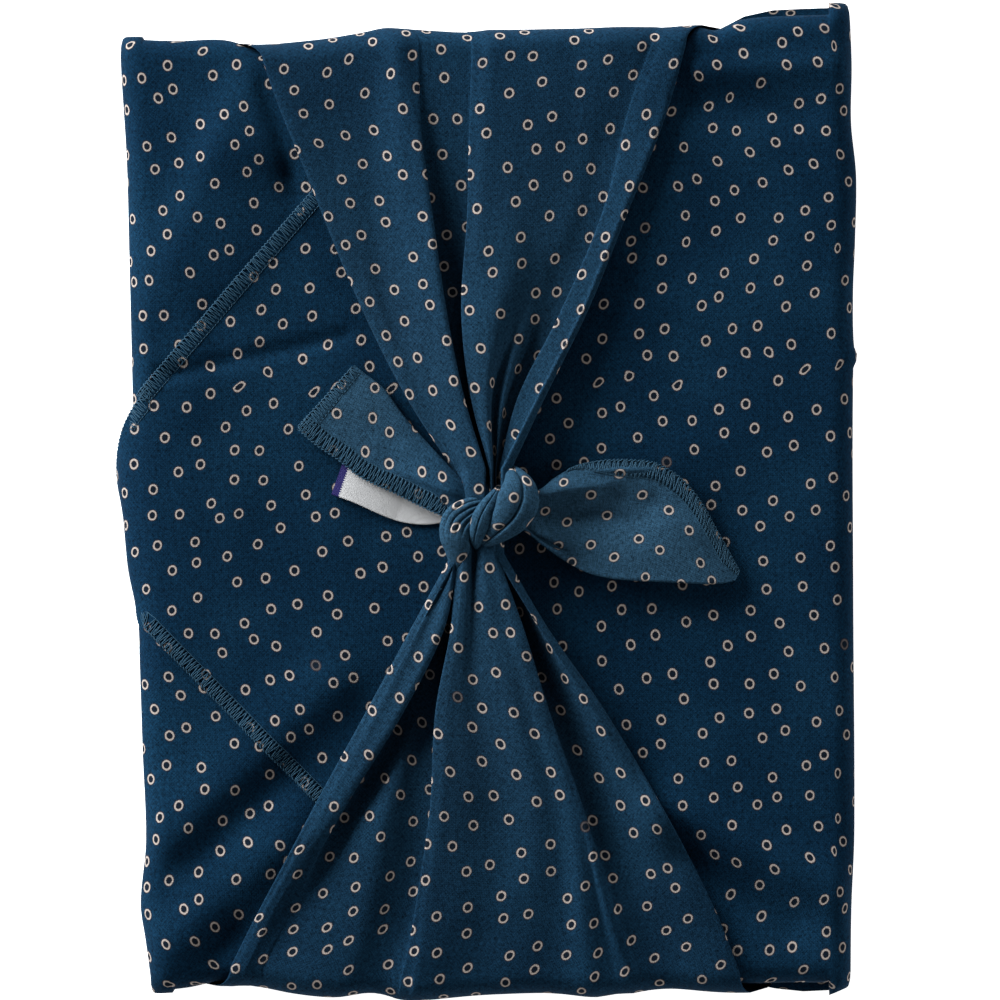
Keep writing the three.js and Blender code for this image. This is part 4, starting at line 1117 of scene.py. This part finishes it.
def label_satin():
    """Bare white satin with a navy end that is woven in with a toothed border."""
    finish = Finish("label_satin")
    place = finish.node("ShaderNodeUVMap", {"uv_map": "flat_cloth"})
    across, along = [finish.node("ShaderNodeSeparateXYZ", None, [place], axis) * (1 / MM) for axis in (0, 1)]
    tooth = finish.node("ShaderNodeMath", {"operation": "PINGPONG"}, [across, LABEL_RIB])
    navy = 1.0 - (along - tooth * 1.5).between(LABEL["navy_end"] - 0.9, LABEL["navy_end"] - 0.75)
    ribs = (across * (2 * math.pi / LABEL_RIB)).sine()
    picks = (along * (2 * math.pi / LABEL_PICK)).sine()
    mottle = finish.noise(place, NOISE["satin"], 3.0)
    white = finish.toned(LABEL_WHITE, ribs * 0.03 + picks * 0.025 + mottle * 0.12 + 0.90)
    finish.feed("Base Color", finish.mix(navy, white, LABEL_BORDER))
    finish.feed("Roughness", 0.5 + mottle * 0.12)
    finish.feed("Specular IOR Level", 0.2)
    finish.relief(0.35, 0.1, ribs + picks * 0.6)
    return finish.material


def plain_floor():
    finish = Finish("plain_floor")
    place = finish.node("ShaderNodeTexCoord", None, None, 3)
    grain = finish.noise(place, NOISE["floor"], 2.0, "3D")
    finish.feed("Base Color", finish.mix(grain, *FLOOR_GREYS))
    finish.feed("Roughness", 0.9)
    finish.feed("Emission Color", (1, 1, 1, 1))
    finish.feed("Emission Strength", FLOOR_GLOW)
    return finish.material


# ======== the pieces
def cloth_piece():
    cloth = ClothMesh()
    add_body(cloth)
    for flap in (TOP_FLAP, BOTTOM_FLAP):
        add_gathered_flap(cloth, flap)
    add_knot_heart(cloth)
    for number, strand in enumerate(KNOT_STRANDS):
        add_strand(cloth, strand, number + 1.0)
    add_tail(cloth, LEFT_TAIL, 1.0)
    add_tail(cloth, RIGHT_TAIL, 2.0)
    piece = cloth.build("wrapping_cloth")
    piece.data.materials.append(printed_cotton())
    return piece


def stitching_piece():
    threads = ThreadMesh()
    hems = (flap_hem_lines(), tail_hem_lines(LEFT_TAIL, "end"), tail_hem_lines(LEFT_TAIL, "lower"),
            tail_hem_lines(RIGHT_TAIL, "upper"))
    for number, (outer, inner) in enumerate(hems):
        overlock(threads, outer, inner, number + 1)
    piece = threads.build("hem_stitching")
    piece.data.materials.append(overlock_thread())
    return piece


def label_piece():
    line = np.array(LABEL["line"])
    width = LABEL["width"]
    rows, columns = LABEL["grid"]
    along, across = np.broadcast_arrays(np.linspace(0, 1, rows)[:, None], np.linspace(-0.5, 0.5, columns))
    centre = follow(np.arange(len(line)), line, along[:, 0] * (len(line) - 1))
    ahead = unit(np.gradient(centre, axis=0))
    length = float(lengths_along(centre, 0)[-1])
    x = centre[:, :1] - ahead[:, 1:] * width * across
    y = centre[:, 1:] + ahead[:, :1] * width * across
    bend = 0.9 * np.sin(along * 5.2 + 0.3) + 0.5 * (across + 0.5) * (1 - along)
    z = under_flap_z(x, y) + LABEL["lift"] + np.maximum(0, bend) * 0.8
    top = np.stack([x, y, z + LABEL["thick"]], axis=-1)
    low = np.stack([x, y, z], axis=-1)[:, ::-1]
    places = np.stack([across * width, along * length], axis=-1)
    satin = ClothMesh()
    both_places = np.concatenate([places, places[:, ::-1]], axis=1)
    satin.grid(np.concatenate([top, low], axis=1), both_places, ring=True)
    for row in (0, -1):
        end_points = np.stack([top[row], low[row][::-1]])
        satin.grid(end_points if row else end_points[::-1], np.stack([places[row], places[row]]))
    piece = satin.build("woven_label_satin")
    piece.data.materials.append(label_satin())
    return piece


wrapping_cloth = cloth_piece()
hem_stitching = stitching_piece()
satin_label = label_piece()

# ======== floor, light and camera
FLOOR_REACH = 3.0
FLOOR_DROP = 0.0002  # the floor lies this far under Z = 0


def floor_piece():
    mesh = bpy.data.meshes.new("floor")
    corners = [(x * FLOOR_REACH, y * FLOOR_REACH, 0) for x, y in ((-1, -1), (1, -1), (1, 1), (-1, 1))]
    mesh.from_pydata(corners, [], [(0, 1, 2, 3)])
    floor = put_in_scene("floor", mesh)
    floor.location.z = -FLOOR_DROP
    floor.data.materials.append(plain_floor())
    return floor


# Each softbox has a direction in degrees from +X, a height and a power.
SOFTBOXES = (
    ("main_softbox", 141, 0.80, 200),
    ("left_softbox", 195, 0.72, 24),
    ("right_softbox", -10, 0.72, 28),
    ("far_softbox", 75, 0.80, 26),
    ("near_softbox", -80, 0.80, 10),
)
SOFTBOX_AWAY = 2.4
SOFTBOX_SIZE = (1.9, 0.8)


SOFTBOX_AIM = (0, 0, 0.02)
AMBIENT = 0.03
CAMERA_HEIGHT = 1.6
CAMERA_PLACE = (0.0041, 0.0024)
FRAME_WIDTH = 0.355  # the view's width at the panels
SENSOR_WIDTH = 36.0


def soft_light(name, direction, height, power):
    lamp = bpy.data.lights.new(name, "AREA")
    lamp.shape = "RECTANGLE"
    lamp.size, lamp.size_y = SOFTBOX_SIZE
    lamp.energy = power
    holder = put_in_scene(name, lamp)
    angle = math.radians(direction)
    holder.location = (SOFTBOX_AWAY * math.cos(angle), SOFTBOX_AWAY * math.sin(angle), height)
    holder.rotation_euler = (Vector(SOFTBOX_AIM) - holder.location).to_track_quat("-Z", "Y").to_euler()


def studio_world():
    world = bpy.data.worlds.new("studio")
    world.use_nodes = True
    ambient = world.node_tree.nodes["Background"].inputs
    ambient["Color"].default_value = (1, 1, 1, 1)
    ambient["Strength"].default_value = AMBIENT
    bpy.context.scene.world = world
    bpy.context.scene.view_settings.view_transform = "Standard"


def camera_above():
    lens = bpy.data.cameras.new("camera")
    lens.sensor_fit = "HORIZONTAL"
    lens.sensor_width = SENSOR_WIDTH
    lens.lens = SENSOR_WIDTH * (CAMERA_HEIGHT - RIGHT_FLAP_Z * MM) / FRAME_WIDTH
    camera = put_in_scene("camera", lens)
    camera.location = (*CAMERA_PLACE, CAMERA_HEIGHT)
    bpy.context.scene.camera = camera


floor_piece()
for softbox in SOFTBOXES:
    soft_light(*softbox)
studio_world()
camera_above()

# ======== what stands for what
for piece in (wrapping_cloth, hem_stitching, satin_label):
    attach(piece, "root")
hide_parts("cloth")
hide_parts("woven_label")
